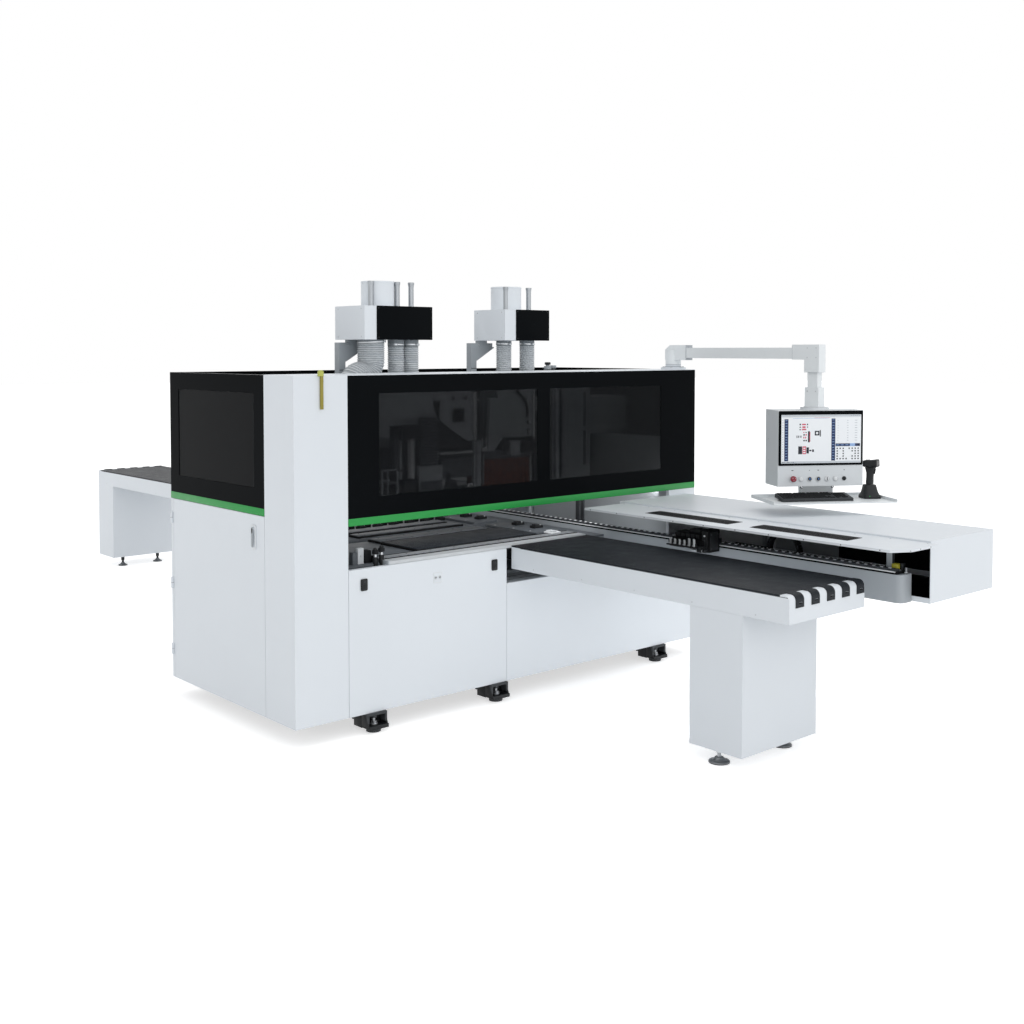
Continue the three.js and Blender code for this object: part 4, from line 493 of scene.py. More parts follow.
floor_data = bpy.data.meshes.new("floor")
REACH = 60
corners = [(-REACH, -REACH, 0), (REACH, -REACH, 0), (REACH, REACH, 0), (-REACH, REACH, 0)]
floor_data.from_pydata(corners, [], [(0, 1, 2, 3)])
floor = bpy.data.objects.new("floor", floor_data)
bpy.context.scene.collection.objects.link(floor)
floor.visible_shadow = False
ground = bpy.data.materials.new("floor")
ground.use_nodes = True
tree = ground.node_tree
tree.nodes.remove(tree.nodes["Principled BSDF"])
lit = tree.nodes.new("ShaderNodeBsdfDiffuse")
lit.inputs["Color"].default_value = (0.85, 0.85, 0.85, 1)
shade = tree.nodes.new("ShaderNodeBsdfDiffuse")
shade.inputs["Color"].default_value = (0.78, 0.78, 0.78, 1)
glow = tree.nodes.new("ShaderNodeEmission")
glow.inputs["Strength"].default_value = 0.6
seen = tree.nodes.new("ShaderNodeAddShader")
tree.links.new(shade.outputs[0], seen.inputs[0])
tree.links.new(glow.outputs[0], seen.inputs[1])
tree.links.new(seen_or_lit(tree, lit, seen).outputs[0], tree.nodes["Material Output"].inputs["Surface"])
floor_data.materials.append(ground)


def sun(name, toward, energy, spread):
    """A soft lamp far away in the direction given, from the machine."""
    lamp = bpy.data.objects.new(name, bpy.data.lights.new(name, "SUN"))
    bpy.context.scene.collection.objects.link(lamp)
    lamp.data.energy = energy
    lamp.data.angle = math.radians(spread)
    lamp.rotation_mode = "QUATERNION"
    lamp.rotation_quaternion = Vector(toward).to_track_quat("Z", "Y")


sun("front_light", (-0.5, -0.85, 0.24), 0.32, 60)
sun("right_light", (0.42, -0.9, 0.06), 0.38, 70)
sun("top_light", (0.4, -0.1, 1), 0.4, 40)
sun("floor_light", (-0.2, -0.8, -0.5), 0.8, 80)


def strip_light(name, at, aim, size, energy):
    """A long lamp inside the cabinet or under the table, which the camera does not see."""
    lamp = bpy.data.objects.new(name, bpy.data.lights.new(name, "AREA"))
    bpy.context.scene.collection.objects.link(lamp)
    lamp.data.shape = "RECTANGLE"
    lamp.data.size, lamp.data.size_y = size
    lamp.data.energy = energy
    lamp.visible_camera = False
    turn = Vector(aim).to_track_quat("-Z", "Y").to_matrix().to_4x4()
    lamp.matrix_world = ORIGIN @ Matrix.Translation(Vector(at) / 1000) @ turn


strip_light("upper_inner_light", (1500, 60, 1740), (0, 0.5, -0.85), (2.4, 0.08), 4)
strip_light("lower_inner_light", (1500, 60, 1160), (0, 0.8, 0.5), (2.4, 0.08), 4)
strip_light("passage_light", (1700, 120, 1045), (0, 0.6, -0.35), (2.2, 0.04), 3)
strip_light("under_table_light", (2250, -1150, 90), (0, 0.95, 0.3), (1.6, 0.1), 4)


# Hoses, which leave the dust boxes' floor in one row
DUCT_Y, DUCT_TOP = 440, 1977.7


class Hose(Piece):
    """A ribbed hose with a thin light rib at each step, a smooth cuff at its top and an open bore."""

    # Where each point of a rib stands in its step, how deep it lies, and its finish
    ribs = [(0.0, 1, 0), (0.2, 0.85, 0), (0.36, 0.35, 0), (0.46, 0, 2), (0.6, 0, 2), (0.7, 0.35, 0), (0.86, 0.85, 0)]

    def __init__(self, name, x, radius, wall, bottom, cuff, bend, depth=5, pitch=12):
        super().__init__("hose_" + name + "_ribbed", "upper_unit_" + name[0], "hose_plastic")
        points = [Vector((x, DUCT_Y, DUCT_TOP))]
        if bend:
            a, b, c, d = [Vector((u, DUCT_Y, w)) for u, w in bend]
            for i in range(81):
                t = i / 80
                points.append(a * (1 - t) ** 3 + b * 3 * t * (1 - t) ** 2 + c * 3 * t * t * (1 - t) + d * t ** 3)
        points.append(Vector((points[-1].x, points[-1].y, bottom)))
        lengths = [0]
        for p, q in zip(points, points[1:]):
            lengths.append(lengths[-1] + (q - p).length)
        self.points, self.lengths = points, lengths
        end = lengths[-1]
        rings = [(0, radius - 2.5, 1), (2, radius - 1.5, 1), (cuff - 3, radius - 1.5, 1), (cuff - 1, radius - 3, 1)]
        count = round((end - cuff) / pitch)
        step = (end - cuff) / count
        for k in range(count):
            for share, drop, rib in self.ribs:
                rings.append((cuff + step * (k + share), radius - depth * drop, rib))
        rings.append((end, radius - depth, 0))
        inner = 60 if bend else 4
        rings += [(end * (inner - i) / inner, radius - wall, 0) for i in range(inner + 1)]
        part = bmesh.new()
        sides = 48 if radius > 60 else 36
        loops = []
        for s, r, _ in rings:
            point, along = self.at(s)
            along = (along * 0.65 + Vector((0, 0, -1)) * 0.35).normalized()
            side = (Vector((0, 1, 0)) - along * along.y).normalized()
            loops.append(ring(part, point, side * r, along.cross(side) * r, sides))
        for (_, _, rib), a, b in zip(rings, loops, loops[1:] + loops[:1]):
            for face in skin(part, a, b):
                face.material_index = rib
        bmesh.ops.recalc_face_normals(part, faces=part.faces[:])
        self.take(part, [HOSE, CUFF, HOSE_RIB])

    def at(self, s):
        for i, (low, high) in enumerate(zip(self.lengths, self.lengths[1:])):
            if s <= high or i == len(self.lengths) - 2:
                a, b = self.points[i], self.points[i + 1]
                return a + (b - a) * ((s - low) / (high - low)), (b - a).normalized()

    def clamp(self, at, radius, tilt, screw):
        """A thin steel band round the hose with its screw."""
        point = self.at(at)[0]
        axis = Vector((math.sin(tilt), 0, math.cos(tilt)))
        band = [(radius - 2, -4), (radius, -4), (radius + 0.8, -3), (radius + 0.8, 3), (radius, 4), (radius - 2, 4)]
        self.turned(band, STEEL, point, axis, 48)
        out = Vector((math.cos(screw), math.sin(screw), 0))
        seat = point + out * (radius + 3) + Vector((0, 0, -math.tan(tilt) * radius * out.x))
        turn = Matrix.Rotation(screw, 4, "Z")
        self.box(*[(c - h, c + h) for c, h in zip(seat, (4, 9, 6))], STEEL, 1, 2, turn)
        self.rod(seat + turn @ Vector((0, -16, 0)), seat + turn @ Vector((0, 13, 0)), 3.2, STEEL, 12)
        return self


large_bend = [(749, 1872), (749, 1768), (629, 1828), (629, 1722)]
right_bend = [(1014, 1815), (1014, 1700), (1150, 1715), (1150, 1600)]
for name, x, radius, wall, bottom, cuff, bend, band in [
    ("a_large", 749, 75, 10, 1575, 16, large_bend, (11, 75.5, -0.05, -0.9)),
    ("a_left", 915, 47, 9, 1575, 38, None, (25, 46, 0.02, -2.2)),
    ("a_right", 1014, 47, 9, 1330, 38, right_bend, (25, 46, 0.02, -1.2)),
    ("b_left", 1700, 47, 9, 1575, 30, None, (20, 46, 0.03, -1.4)),
    ("b_right", 1884, 47, 9, 1575, 30, None, (20, 46, 0.03, -1.4)),
]:
    Hose(name, x, radius, wall, bottom, cuff, bend).clamp(*band).done("hose_" + name)


# Dust boxes
def dust_box(letter, low, high, front_low, post_low, arm_end, spigot_x, pipes):
    """The black front, screws, rims, pipes and bracket bolts of a dust box between two places along x."""
    box = Piece("dust_box_" + letter + "_trim", "upper_unit_" + letter, "black_gloss")
    box.prism(rounded(front_low, high + 0.4, 1977.2, 2157.6, 3), "y", 296.6, 299.9, GLOSS, 0.6)
    box.studs((front_low + 12, high - 12), (296.7,), (1990, 2145), (0, -1.3, 0), 3.4, BLACK_METAL, 16, 0.6)
    box.studs((low + 0.1,), (330, 550), (1994, 2141), (-1.7, 0, 0), 4.2, STEEL)
    box.studs((high - 0.1,), (330, 550), (1994, 2141), (1.7, 0, 0), 4.2, STEEL)
    rim = [(86, 2290.2), (90.2, 2290.2), (91.4, 2289), (91.4, 2284), (90.2, 2282.6), (86, 2282.6)]
    box.turned(rim, WHITE, (spigot_x, DUCT_Y, 0), sides=64)
    foot_ring = [(90.1, 2157.1), (95, 2157.1), (94.6, 2159), (91, 2161.5), (90.1, 2164)]
    box.turned(foot_ring, WHITE, (spigot_x, DUCT_Y, 0), sides=64)
    pipe = [(10, 2157.2), (17.5, 2157.2), (17.5, 2159.5), (15.4, 2162), (14.6, 2163), (14.6, 2262), (15.4, 2272),
            (17, 2279), (17.6, 2283), (17.6, 2290.6), (16, 2291.6), (10, 2291.6)]
    for x in pipes:
        box.turned(pipe, PIPE, (x, 380, 0), sides=32)
    # Bolts of the bracket under the box, and a seam on its post
    for x in (post_low + 60, arm_end - 22):
        box.bolt((x, 548, 1951), FORWARD, 6)
    box.box((post_low + 3, post_low + 39), (544.4, 545.1), (1812, 1816), DARK, 0.1)
    return box.done()


dust_box("a", 613, 1058, 690, 613, 860, 795, (709, 881, 975))
dust_box("b", 1588, 1934, 1672, 1535, 1700, 1717, (1662, 1843))

# Fixed cable entry posts that show above the roof
posts = Piece("roof_cable_posts", "machine", "grey_paint")
posts.box((2166, 2196), (566, 586), (1690.2, 1806), DARK, 2)
posts.box((2162, 2200), (560, 592), (1800, 1822), GREY, 3)
posts.rod((2181, 576, 1822), (2181, 576, 1834), 12, GREY, 24)
posts.turned([(0, 1830), (17, 1830), (19, 1833), (19, 1843), (16, 1846), (0, 1846)], BLACK, (2181, 576, 0), sides=24)
posts.box((2215, 2240), (566, 586), (1690.2, 1812), DARK, 2)
posts.box((2211, 2244), (562, 590), (1808, 1826), GREY, 3)
posts.done()

# Green bands
band = Piece("green_band_front", "machine", "white_paint")
band.box((306.4, 2916.6), (-1.4, 0.2), (1052.3, 1089), GREEN, 0.6)
band.done()
band = Piece("green_band_side", "machine", "white_paint")
band.box((-1.4, 0.2), (278.4, 1303.6), (1102.3, 1139), GREEN, 0.6)
band.done()

# Warning lamp
lamp = Piece("warning_lamp_detailed", "machine", "lamp_plastic")
lamp.prism(rounded(146, 161.5, -13, -0.5, 3), "z", 1636.5, 1798, LAMP, 1.2)
lamp.prism(rounded(133, 162, -16, -0.4, 4), "z", 1796, 1820, LAMP_TOP, 1.5)
lamp.prism(rounded(136, 159, -14, -2, 4), "z", 1819, 1826, LAMP_TOP, 2.4)
for z in (1652, 1770):
    lamp.prism(rounded(145.4, 162.1, -13.6, -0.4, 3), "z", z, z + 3, LAMP, 0.8)
lamp.done("warning_lamp")


# Cabinet feet
def foot(x, front, way):
    """Bracket, bolt, nuts and pad of a levelling foot. The way is 1 at the front and -1 at the back."""
    made = Piece("foot_%d_%d" % (x, front), "machine", "black_metal")
    bolt_y = front + way * 20

    def depth(*values):
        return tuple(sorted(front + way * v for v in values))

    made.box((x - 61, x + 61), depth(36, 108), (20, 98.4), BLACK_METAL, 3)
    made.box((x - 60, x + 60), depth(-30, 37), (22, 36), BLACK_METAL, 4)
    made.box((x - 60, x + 60), depth(-31, -25), (18, 38), BLACK_METAL, 2)
    for low in (x - 60.6, x + 52.6):
        outline = [(front - way * 24, 35), (front + way * 37, 35), (front + way * 37, 98.2), (front + way * 6, 98.2)]
        made.prism(outline, "x", low, low + 8, BLACK_METAL, 1.2)
    made.turned([(0, 16), (9.6, 16), (10, 17), (10, 96), (9, 97), (0, 97)], STEEL, (x, bolt_y, 0), sides=24)
    made.bolt((x, bolt_y, 36), UP, 17, STEEL, 12)
    made.bolt((x, bolt_y, 22), DOWN, 15, STEEL, 4)
    pad = [(0, 0.3), (31, 0.3), (33.4, 1.4), (34, 4), (34, 9), (31, 12), (20, 14), (13, 17), (10, 18), (0, 18)]
    made.turned(pad, RUBBER, (x, bolt_y, 0), sides=40)
    made.turned([(33.6, 3), (35, 3.6), (35, 6.4), (33.6, 7)], BLACK, (x, bolt_y, 0), sides=40)
    made.done()


for x in (465, 1277, 2575):
    foot(x, 0, 1)
    foot(x, CABINET_DEPTH, -1)

# Table feet
disc = [(0, 0), (46, 0), (49, 1.5), (50, 5), (50, 8), (47, 11), (34, 14), (24, 20), (20, 27), (13, 29), (0, 29)]
disc_rim = [(49.2, 1), (50.3, 2.4), (50.3, 4.6), (49.2, 6)]
for name, x, y, top in [("front_foot_left", 1407, -1435, 59.7), ("front_foot_right", 1825, -1481, 59.7),
                        ("rear_foot_left", 1480, 5390, 82.7), ("rear_foot_right", 1807, 5390, 82.7)]:
    made = Piece(name + "_detailed", "machine", "steel")
    share, nut, finish = (0.78, 34, BLACK_METAL) if name.startswith("rear") else (1, 13.6, STEEL)
    made.turned([(r * share, z) for r, z in disc], FOOT_STEEL, (x, y, 0), sides=48)
    made.turned([(r * share, z) for r, z in disc_rim], RUBBER, (x, y, 0), sides=48)
    thread, pitch = [(0, 28)], 2.2
    for i in range(round((top - 32) / pitch)):
        thread += [(8.6, 28 + i * pitch), (9.6, 28 + (i + 0.5) * pitch)]
    made.turned(thread + [(8.6, top - 4), (0, top - 4)], finish, (x, y, 0), sides=24)
    made.rod((x, y, top - nut), (x, y, top), 16, finish, 6, 1)
    made.done(name)

# Access cover: latches and key socket
for name, x in [("cover_latch_left", 397), ("cover_latch_right", 1250)]:
    made = Piece(name + "_detailed", name, "black_metal")
    made.prism(rounded(x - 20, x + 20, 723, 783, 6), "y", -6, -0.5, BLACK_METAL, 1.4)
    made.prism(rounded(x - 14, x + 14, 729, 777, 4), "y", -8.4, -5.8, BLACK, 1)
    made.prism(rounded(x - 9.5, x + 9.5, 732, 758, 3), "y", -11.6, -8.2, BLACK_METAL, 1.2)
    made.rod((x, -8.2, 767), (x, -9.8, 767), 4.4, DARK, 20, 0.6)
    made.studs((x - 16, x + 16), (-5.9,), (726.5, 779.5), (0, -0.9, 0), 1.8, DARK, 12, 0.3)
    made.done(name)
cover = Piece("access_cover_socket", "access_cover", "white_paint")
cover.prism(rounded(833, 889, 704, 759, 6), "y", -1.8, 0.2, PALE, 0.6)
cover.prism(rounded(836, 886, 707, 756, 5), "y", -2.4, -1.6, WHITE, 0.4)
socket = [(0, 0), (8, 0), (8.6, 0.6), (8.6, 1.4), (6.4, 2), (5.6, 1), (0, 1)]
for x in (846, 874):
    cover.turned(socket, LIGHT_GREY, (x, -2.3, 733), FORWARD, 28)
    cover.box((x - 5.4, x + 5.4), (-3.8, -3.2), (731.4, 734.6), DARK, 0.3)
cover.done()

# Door: handle with its lock, recess frame and hinges
made = Piece("door_handle_detailed", "door_handle", "white_paint")
made.prism(rounded(370, 390, 938, 1040, 8), "x", -14.2, -8.5, GREY, 2)
made.prism(rounded(373, 387, 1008, 1034, 5), "x", -14.3, -13.5, BLACK_METAL, 0.2)
for z in (950, 1028):
    made.rod((-9, 380, z), (-3.4, 380, z), 8, WHITE, 24, 1)
made.box((-14.5, -13.9), (374, 376), (946, 1004), MARK, 0.2)
made.done("door_handle")
door = Piece("door_handle_frame", "electrical_door", "white_paint")
door.prism(rounded(358, 402, 928, 1050, 12), "x", -4.6, -3.1, PALE, 0.5)
door.prism(rounded(362, 398, 932, 1046, 9), "x", -5, -4.4, WHITE, 0.2)
door.done()
hinges = Piece("door_hinges", "machine", "white_paint")
for z in (230, 600, 965):
    hinges.turned([(0, 0), (7, 0), (7.6, 0.8), (7.6, 59.2), (7, 60), (0, 60)], WHITE, (-5.2, 1289, z), sides=24)
    hinges.turned([(7.7, 29.4), (7.7, 30.6), (6, 30.6), (6, 29.4)], MARK, (-5.2, 1289, z), sides=24)
hinges.done()


# Control panel: its display, buttons and knob
def field(name, color, vary=0.05, rough=0.22, vary_scale=1.3):
    """The finish of a printed field of the display."""
    return Finish("screen_" + name, color, rough, specular=0.25, vary=vary, vary_scale=vary_scale, relief=0, edge=0)


SCREEN = field("white", (240, 243, 246), 0.01, 0.2)
SCREEN_BLUE = field("blue", (42, 58, 96), 0.06, vary_scale=60)
SCREEN_SKY = field("light_blue", (150, 180, 222), 0.03)
SCREEN_GREY = field("grey", (196, 202, 208), 0.03)
SCREEN_INK = field("ink", (30, 34, 44))
SCREEN_RED = field("red", (206, 96, 116))
SCREEN_TEXT = field("rows", (170, 176, 184))

FACE = PANEL @ Matrix.Translation((0, -8, 0))
WIDER = Matrix.Scale(1.046, 4, (1, 0, 0))
display = Piece("display_detailed", "control_panel", "black_gloss", FACE @ WIDER)
display.prism(rounded(-237, 237, 1278.3, 1583, 5), "y", -89.6, -85.4, GLOSS, 1.2)
display.prism(rounded(-223, 226, 1291, 1562, 1), "y", -90, -89.4, SCREEN, 0)


def flat(x, z, finish, layer=1):
    """A printed field of the screen, a fraction of a millimetre proud of it."""
    display.box(x, (-90 - 0.12 * layer, -89.9), z, finish, 0)


flat((-222, 225), (1291.5, 1302), SCREEN_GREY)
flat((-222, 225), (1551, 1561.5), SCREEN_GREY)
flat((-222, 225), (1547.5, 1548.5), SCREEN_TEXT)
flat((-160, 40), (1541, 1542.6), SCREEN_SKY)
flat((-38, 50), (1544, 1545.4), SCREEN_RED)
for i in range(9):
    flat((-218 + i * 9, -214 + i * 9), (1294.5, 1299), [SCREEN_INK, SCREEN_BLUE, SCREEN_TEXT][i % 3], 2)
for i in range(5):
    flat((168 + i * 11, 173 + i * 11), (1553.5, 1559), SCREEN_TEXT, 2)
for low, high, top in [(-206, -184, 1538), (58, 80, 1540)]:
    flat((low, high), (1304, top), SCREEN_BLUE)
    for i in range(15):
        z = top - 9 - i * 15.4
        flat((low + 5, high - 5), (z, z + 2.2), SCREEN_SKY, 2)
        flat((low + 1, high - 1), (z - 4.6, z - 4), SCREEN_INK, 2)
for i in range(17):
    flat((-218, -212), (1530 - i * 13.4, 1532 - i * 13.4), SCREEN_TEXT)
for i in range(9):
    z = 1528 - i * 14
    flat((92, 98), (z, z + 1.6), SCREEN_TEXT)
    flat((146, 154), (z, z + 2.4), SCREEN_TEXT)
    flat((190, 204), (z, z + 2.4), SCREEN_TEXT)
flat((82, 221), (1384, 1400), SCREEN_BLUE)
flat((163, 192), (1384, 1400), SCREEN_SKY, 2)
for i in range(3):
    flat((86 + i * 26, 102 + i * 26), (1390, 1393), SCREEN_SKY, 2)
flat((206, 218), (1388, 1396), SCREEN_INK, 2)
dots = random.Random(4)
for column in range(8):
    for row in range(5):
        if dots.random() < 0.62 or column > 5:
            x, z = 88 + column * 17, 1368 - row * 14.5
            flat((x, x + 7), (z, z + 8), SCREEN_INK)
# Plain shapes in the drawing field
for x, z, w, h, f in [(-122, 1504, 8, 8, 0), (-108, 1504, 22, 8, 1), (-80, 1504, 6, 8, 0), (-122, 1490, 8, 6, 0),
                      (-106, 1488, 18, 10, 1), (-80, 1490, 6, 6, 0), (-122, 1476, 8, 6, 0), (-108, 1476, 24, 8, 1),
                      (-100, 1460, 6, 6, 1), (-88, 1460, 6, 6, 0), (-100, 1446, 8, 8, 0), (-88, 1446, 8, 8, 1),
                      (-100, 1430, 6, 10, 1), (-90, 1430, 6, 10, 1), (-100, 1414, 8, 8, 0), (-88, 1414, 8, 8, 0),
                      (-74, 1408, 10, 62, 0), (-66, 1412, 5, 54, 1), (-138, 1434, 5, 12, 0), (-128, 1434, 5, 12, 0),
                      (-116, 1434, 5, 12, 0), (-36, 1446, 26, 26, 0), (-8, 1440, 6, 36, 0), (-128, 1342, 22, 44, 0),
                      (-104, 1342, 20, 44, 1), (-82, 1346, 14, 34, 0), (-66, 1358, 12, 8, 0), (-50, 1354, 10, 14, 0)]:
    flat((x, x + w), (z, z + h), [SCREEN_INK, SCREEN_RED][f])
flat((-29, -17), (1453, 1465), SCREEN, 2)
for i in range(3):
    flat((-100, -88), (1348 + i * 12, 1354 + i * 12), SCREEN, 2)
display.done("display_panel")

controls = Piece("panel_controls", "control_panel", "white_alloy", FACE)
bezel = [(0, 0), (15, 0), (15.6, 0.8), (15.2, 3.4), (13.6, 4.4), (11.6, 4.4), (11, 3), (0, 3)]
cap = [(0, 2.6), (10.6, 2.6), (10.6, 5), (9.4, 6.4), (0, 6.8)]
for x, lens in [(-114, PALE), (-64, BLUE), (-13, BLUE), (38, PALE), (89, PALE)]:
    at = (x, -85.2, 1203)
    controls.turned(bezel, STEEL, at, FORWARD, 40)
    controls.turned(cap, BLACK if lens is BLUE else lens, at, FORWARD, 32)
    if lens is BLUE:
        controls.turned([(0, 6.4), (5.4, 6.4), (5, 7.6), (0, 7.9)], lens, at, FORWARD, 24)
    if x == 38:
        controls.box((x - 2.4, x + 2.4), (-93, -88), (1194, 1212), MARK, 0.8)
at = (140, -85.2, 1203)
controls.turned([(0, 0), (11.4, 0), (12, 0.8), (11.6, 3.4), (10.4, 4.4), (0, 4.4)], BLACK_METAL, at, FORWARD, 40)
controls.turned([(0, 4), (8.4, 4), (8.4, 12), (7.6, 13.4), (0, 13.4)], BLACK, at, FORWARD, 32)
controls.box((137.6, 142.4), (-101, -97), (1195, 1211), BLACK_METAL, 1)
for x, wide in [(-165, 12), (-64, 4), (-13, 9), (140, 6)]:
    controls.prism(rounded(x - wide / 2, x + wide / 2, 1249, 1253, 1.5), "y", -85.9, -85.1, MARK, 0.1)
collar = [(17.6, 0), (20, 0), (20.6, 0.6), (20.6, 2.4), (19.4, 3), (17.6, 3)]
controls.turned(collar, PALE, (-165, -85.2, 1205), FORWARD, 40)
controls.done()
# Edge folds, vents and screws of the housing
trim = Piece("panel_housing_trim", "control_panel", "white_alloy", PANEL)
for x, out in [(-251, -1.255), (251, 1.255)]:
    trim.studs((x,), (48,), (1180, 1300, 1420, 1560), (out, 0, 0), 3.6, STEEL, 16, 0.5)
for i in range(14):
    trim.box((-60 + i * 9, -56 + i * 9), (92.8, 93.6), (1460, 1520), MARK, 0.3)
trim.box((-200, 200), (92.9, 93.5), (1200, 1201.5), MARK, 0.2)
trim.studs((-215, 215), (93,), (1190, 1560), (0, 1.6, 0), 4, STEEL, 16, 0.6)
trim.turned([(80.2, 1586.2), (83, 1586.2), (83, 1588), (80.2, 1589)], PALE, (0, 0, 0), sides=64)
trim.done()

# The stop button's detail
stop = Piece("emergency_stop_detailed", "emergency_stop", "red_plastic", FACE)
at = (-165, -85.2, 1205)
stop.turned([(0, -10), (9.8, -10), (9.8, 12), (0, 12)], BLACK, at, FORWARD, 32)
button = [(9, 11.8), (14.4, 11.8), (16.6, 14), (17, 17), (16.5, 22), (14.8, 25.6), (11, 27.4), (5, 28), (0, 28)]
stop.turned(button, RED, at, FORWARD, 48)
for i in range(3):
    angle = 2 * math.pi * i / 3 + 0.4
    x, z = -165 + 9.4 * math.cos(angle), 1205 + 9.4 * math.sin(angle)
    turn = Matrix.Rotation(-angle - 1.57, 4, "Y")
    stop.box((x - 2.6, x + 2.6), (-113.4, -112), (z - 0.9, z + 0.9), PALE, 0.3, 1, turn)
stop.done("emergency_stop")

# Tray: knobs of its neck, folded front edge and screws
tray = Piece("tray_trim", "control_panel", "white_paint", PANEL)
for x in (-72, 112):
    tray.turned([(0, -2), (8, -2), (9, -1), (9, 1), (8, 2), (0, 2)], BLACK, (x, -1.4, 1147), FORWARD, 32)
    tray.turned([(4, 2), (5.5, 2), (5.5, 2.8), (4, 2.8)], STEEL, (x, -1.4, 1147), FORWARD, 24)
tray.box((-349.6, 362.6), (-291.2, -288), (1084.9, 1092), ALLOY, 1)
tray.studs((-340, 353), (-270, -110, 40), (1088,), (0, 0, 1.4), 4, STEEL, 16, 0.5)
tray.done()

# Keyboard: rounded body with key rows on its slope
KEYS = PANEL @ Matrix(((0.958, 0, 0, -55), (0, 0.843, 0, -19), (0, 0.0857, 1, 18), (0, 0, 0, 1)))
keys = Piece("keyboard_detailed", "control_panel", "black_plastic", KEYS)
for x in (-190, 190):
    keys.box((x - 9, x + 9), (-92, -86), (1078.4, 1090), RUBBER, 1)
wedge = [(-210, 1088.4), (-70, 1088.4), (-70, 1110), (-72, 1112), (-207, 1104.4), (-210, 1102)]
keys.prism(wedge, "x", -215, 215, DARK, 2)
KEY, SLOPE = 18.2, 7.6 / 135
rows = [
    [1, 0, 1, 1, 1, 1, 0.5, 1, 1, 1, 1, 0.5, 1, 1, 1, 1],
    [1] * 13 + [2],
    [1.5] + [1] * 12 + [1.5],
    [1.8] + [1] * 11 + [2.2],
    [2.3] + [1] * 10 + [2.7],
    [1.5, 1.25, 1.25, 6, 1.25, 1.25, 1.25, 1.25],
]
for row, widths in enumerate(rows):
    y = -82 - row * 20.5 - (3 if row else 0)
    z = 1111.4 - (-72 - y) * SLOPE
    tops = (z - 1, z + 4)
    x = -207
    for k, width in enumerate(widths):
        if row or (width >= 0.8 and k != 1):
            keys.box((x + 0.8, x + width * KEY - 0.8), (y - 8.4, y + 8.4), tops, RUBBER, 1.6, 1)
        x += width * KEY
    for k in range(3):
        if row < 3 or row == 5 or (row == 4 and k == 1):
            keys.box((56.8 + k * KEY, 73.4 + k * KEY), (y - 8.4, y + 8.4), tops, RUBBER, 1.6, 1)
    for k in range(4 if row else 0):
        tall = 16 if k == 3 and row in (2, 4) else 0
        if (k, row) not in ((3, 3), (3, 5), (1, 5)):
            keys.box((119 + k * KEY, 135.4 + k * KEY), (y - 8.4 - tall, y + 8.4), tops, RUBBER, 1.6, 1)
keys.done("keyboard")

# Scanner and its cradle
sx, sy = 298, -84
aim = Vector((0.72, -0.66, 0.05)).normalized()
across = Vector((0.66, 0.72, 0)).normalized()
cradle = Piece("scanner_cradle_detailed", "control_panel", "black_plastic", PANEL)
foot_sizes = [(1088.4, 0, 51, 51), (1096, 0, 51.8, 51.8), (1104, 0, 50, 50), (1112, 0, 45, 45)]
neck_sizes = [(1110, 0, 46, 46), (1128, 2, 40, 38), (1150, 3, 35, 33), (1164, 3, 31, 30)]
for sizes, power in [(foot_sizes, 5), (neck_sizes, 4)]:
    cradle.loft([((sx, sy + shift, z), (w, 0, 0), (0, d, 0)) for z, shift, w, d in sizes], BLACK, power)
cradle.turned([(0, 0), (3, 0), (3, 1), (2, 1.6), (0, 1.6)], GREEN, (sx - 22, sy - 50.2, 1103), (0, -1, 0.35), 20)
cradle.studs((sx - 40, sx + 40), (sy - 40, sy + 40), (1088.3,), (0, 0, 18.3), 4.5, RUBBER)
cradle.done("scanner_cradle")
gun = Piece("barcode_scanner_detailed", "barcode_scanner", "black_plastic", PANEL)
grip = [(1166.8, 17, 20, 0), (1180, 17, 21, 0), (1205, 15.5, 20, 1), (1232, 15, 21, 2), (1252, 17, 27, 3),
        (1262, 20, 32, 4)]
gun.loft([(Vector((sx, sy, z)) + aim * shift, across * w, aim * d) for z, w, d, shift in grip], BLACK, 3)
head = [(-44, 12, 10, 2), (-41, 18, 15, 1), (-30, 23, 19, 0), (0, 25, 20, 0), (20, 27, 20.5, 1), (34, 30, 21.5, 2),
        (44, 31, 21.6, 2), (46, 29, 20, 2)]
up = aim.cross(across)
gun.loft([(Vector((sx, sy, 1283 + rise)) + aim * d, across * w, up * h) for d, w, h, rise in head], BLACK, 4.5)
front = Vector((sx, sy, 1285)) + aim * 46.2
gun.loft([(front - aim * 1, across * 25, up * 14), (front + aim * 0.4, across * 24, up * 13)], SCREEN_GLOSS, 6)
crest = [(Vector((sx, sy, z)) - aim * 12, across * w, aim * d) for z, w, d in [(1303.4, 8, 14), (1305.2, 6.5, 12)]]
gun.loft(crest, DARK, 3)
trigger = Vector((sx, sy, 1240)) + aim * 23
bends = [(-16, 7, 6), (0, 8, 9), (12, 8, 11)]
gun.loft([(trigger + Vector((0, 0, z)), across * w, aim * d) for z, w, d in bends], RUBBER, 3)
gun.done("barcode_scanner")

# Work table: base, ledge with its scale strip, slabs, guides and stops
table = Piece("work_table_detailed", "machine", "dark_paint")
for y in [(60, 683.7), (795.3, 1304)]:
    table.box((330.3, 1950), y, (815, 838), TABLE_GREY, 1)
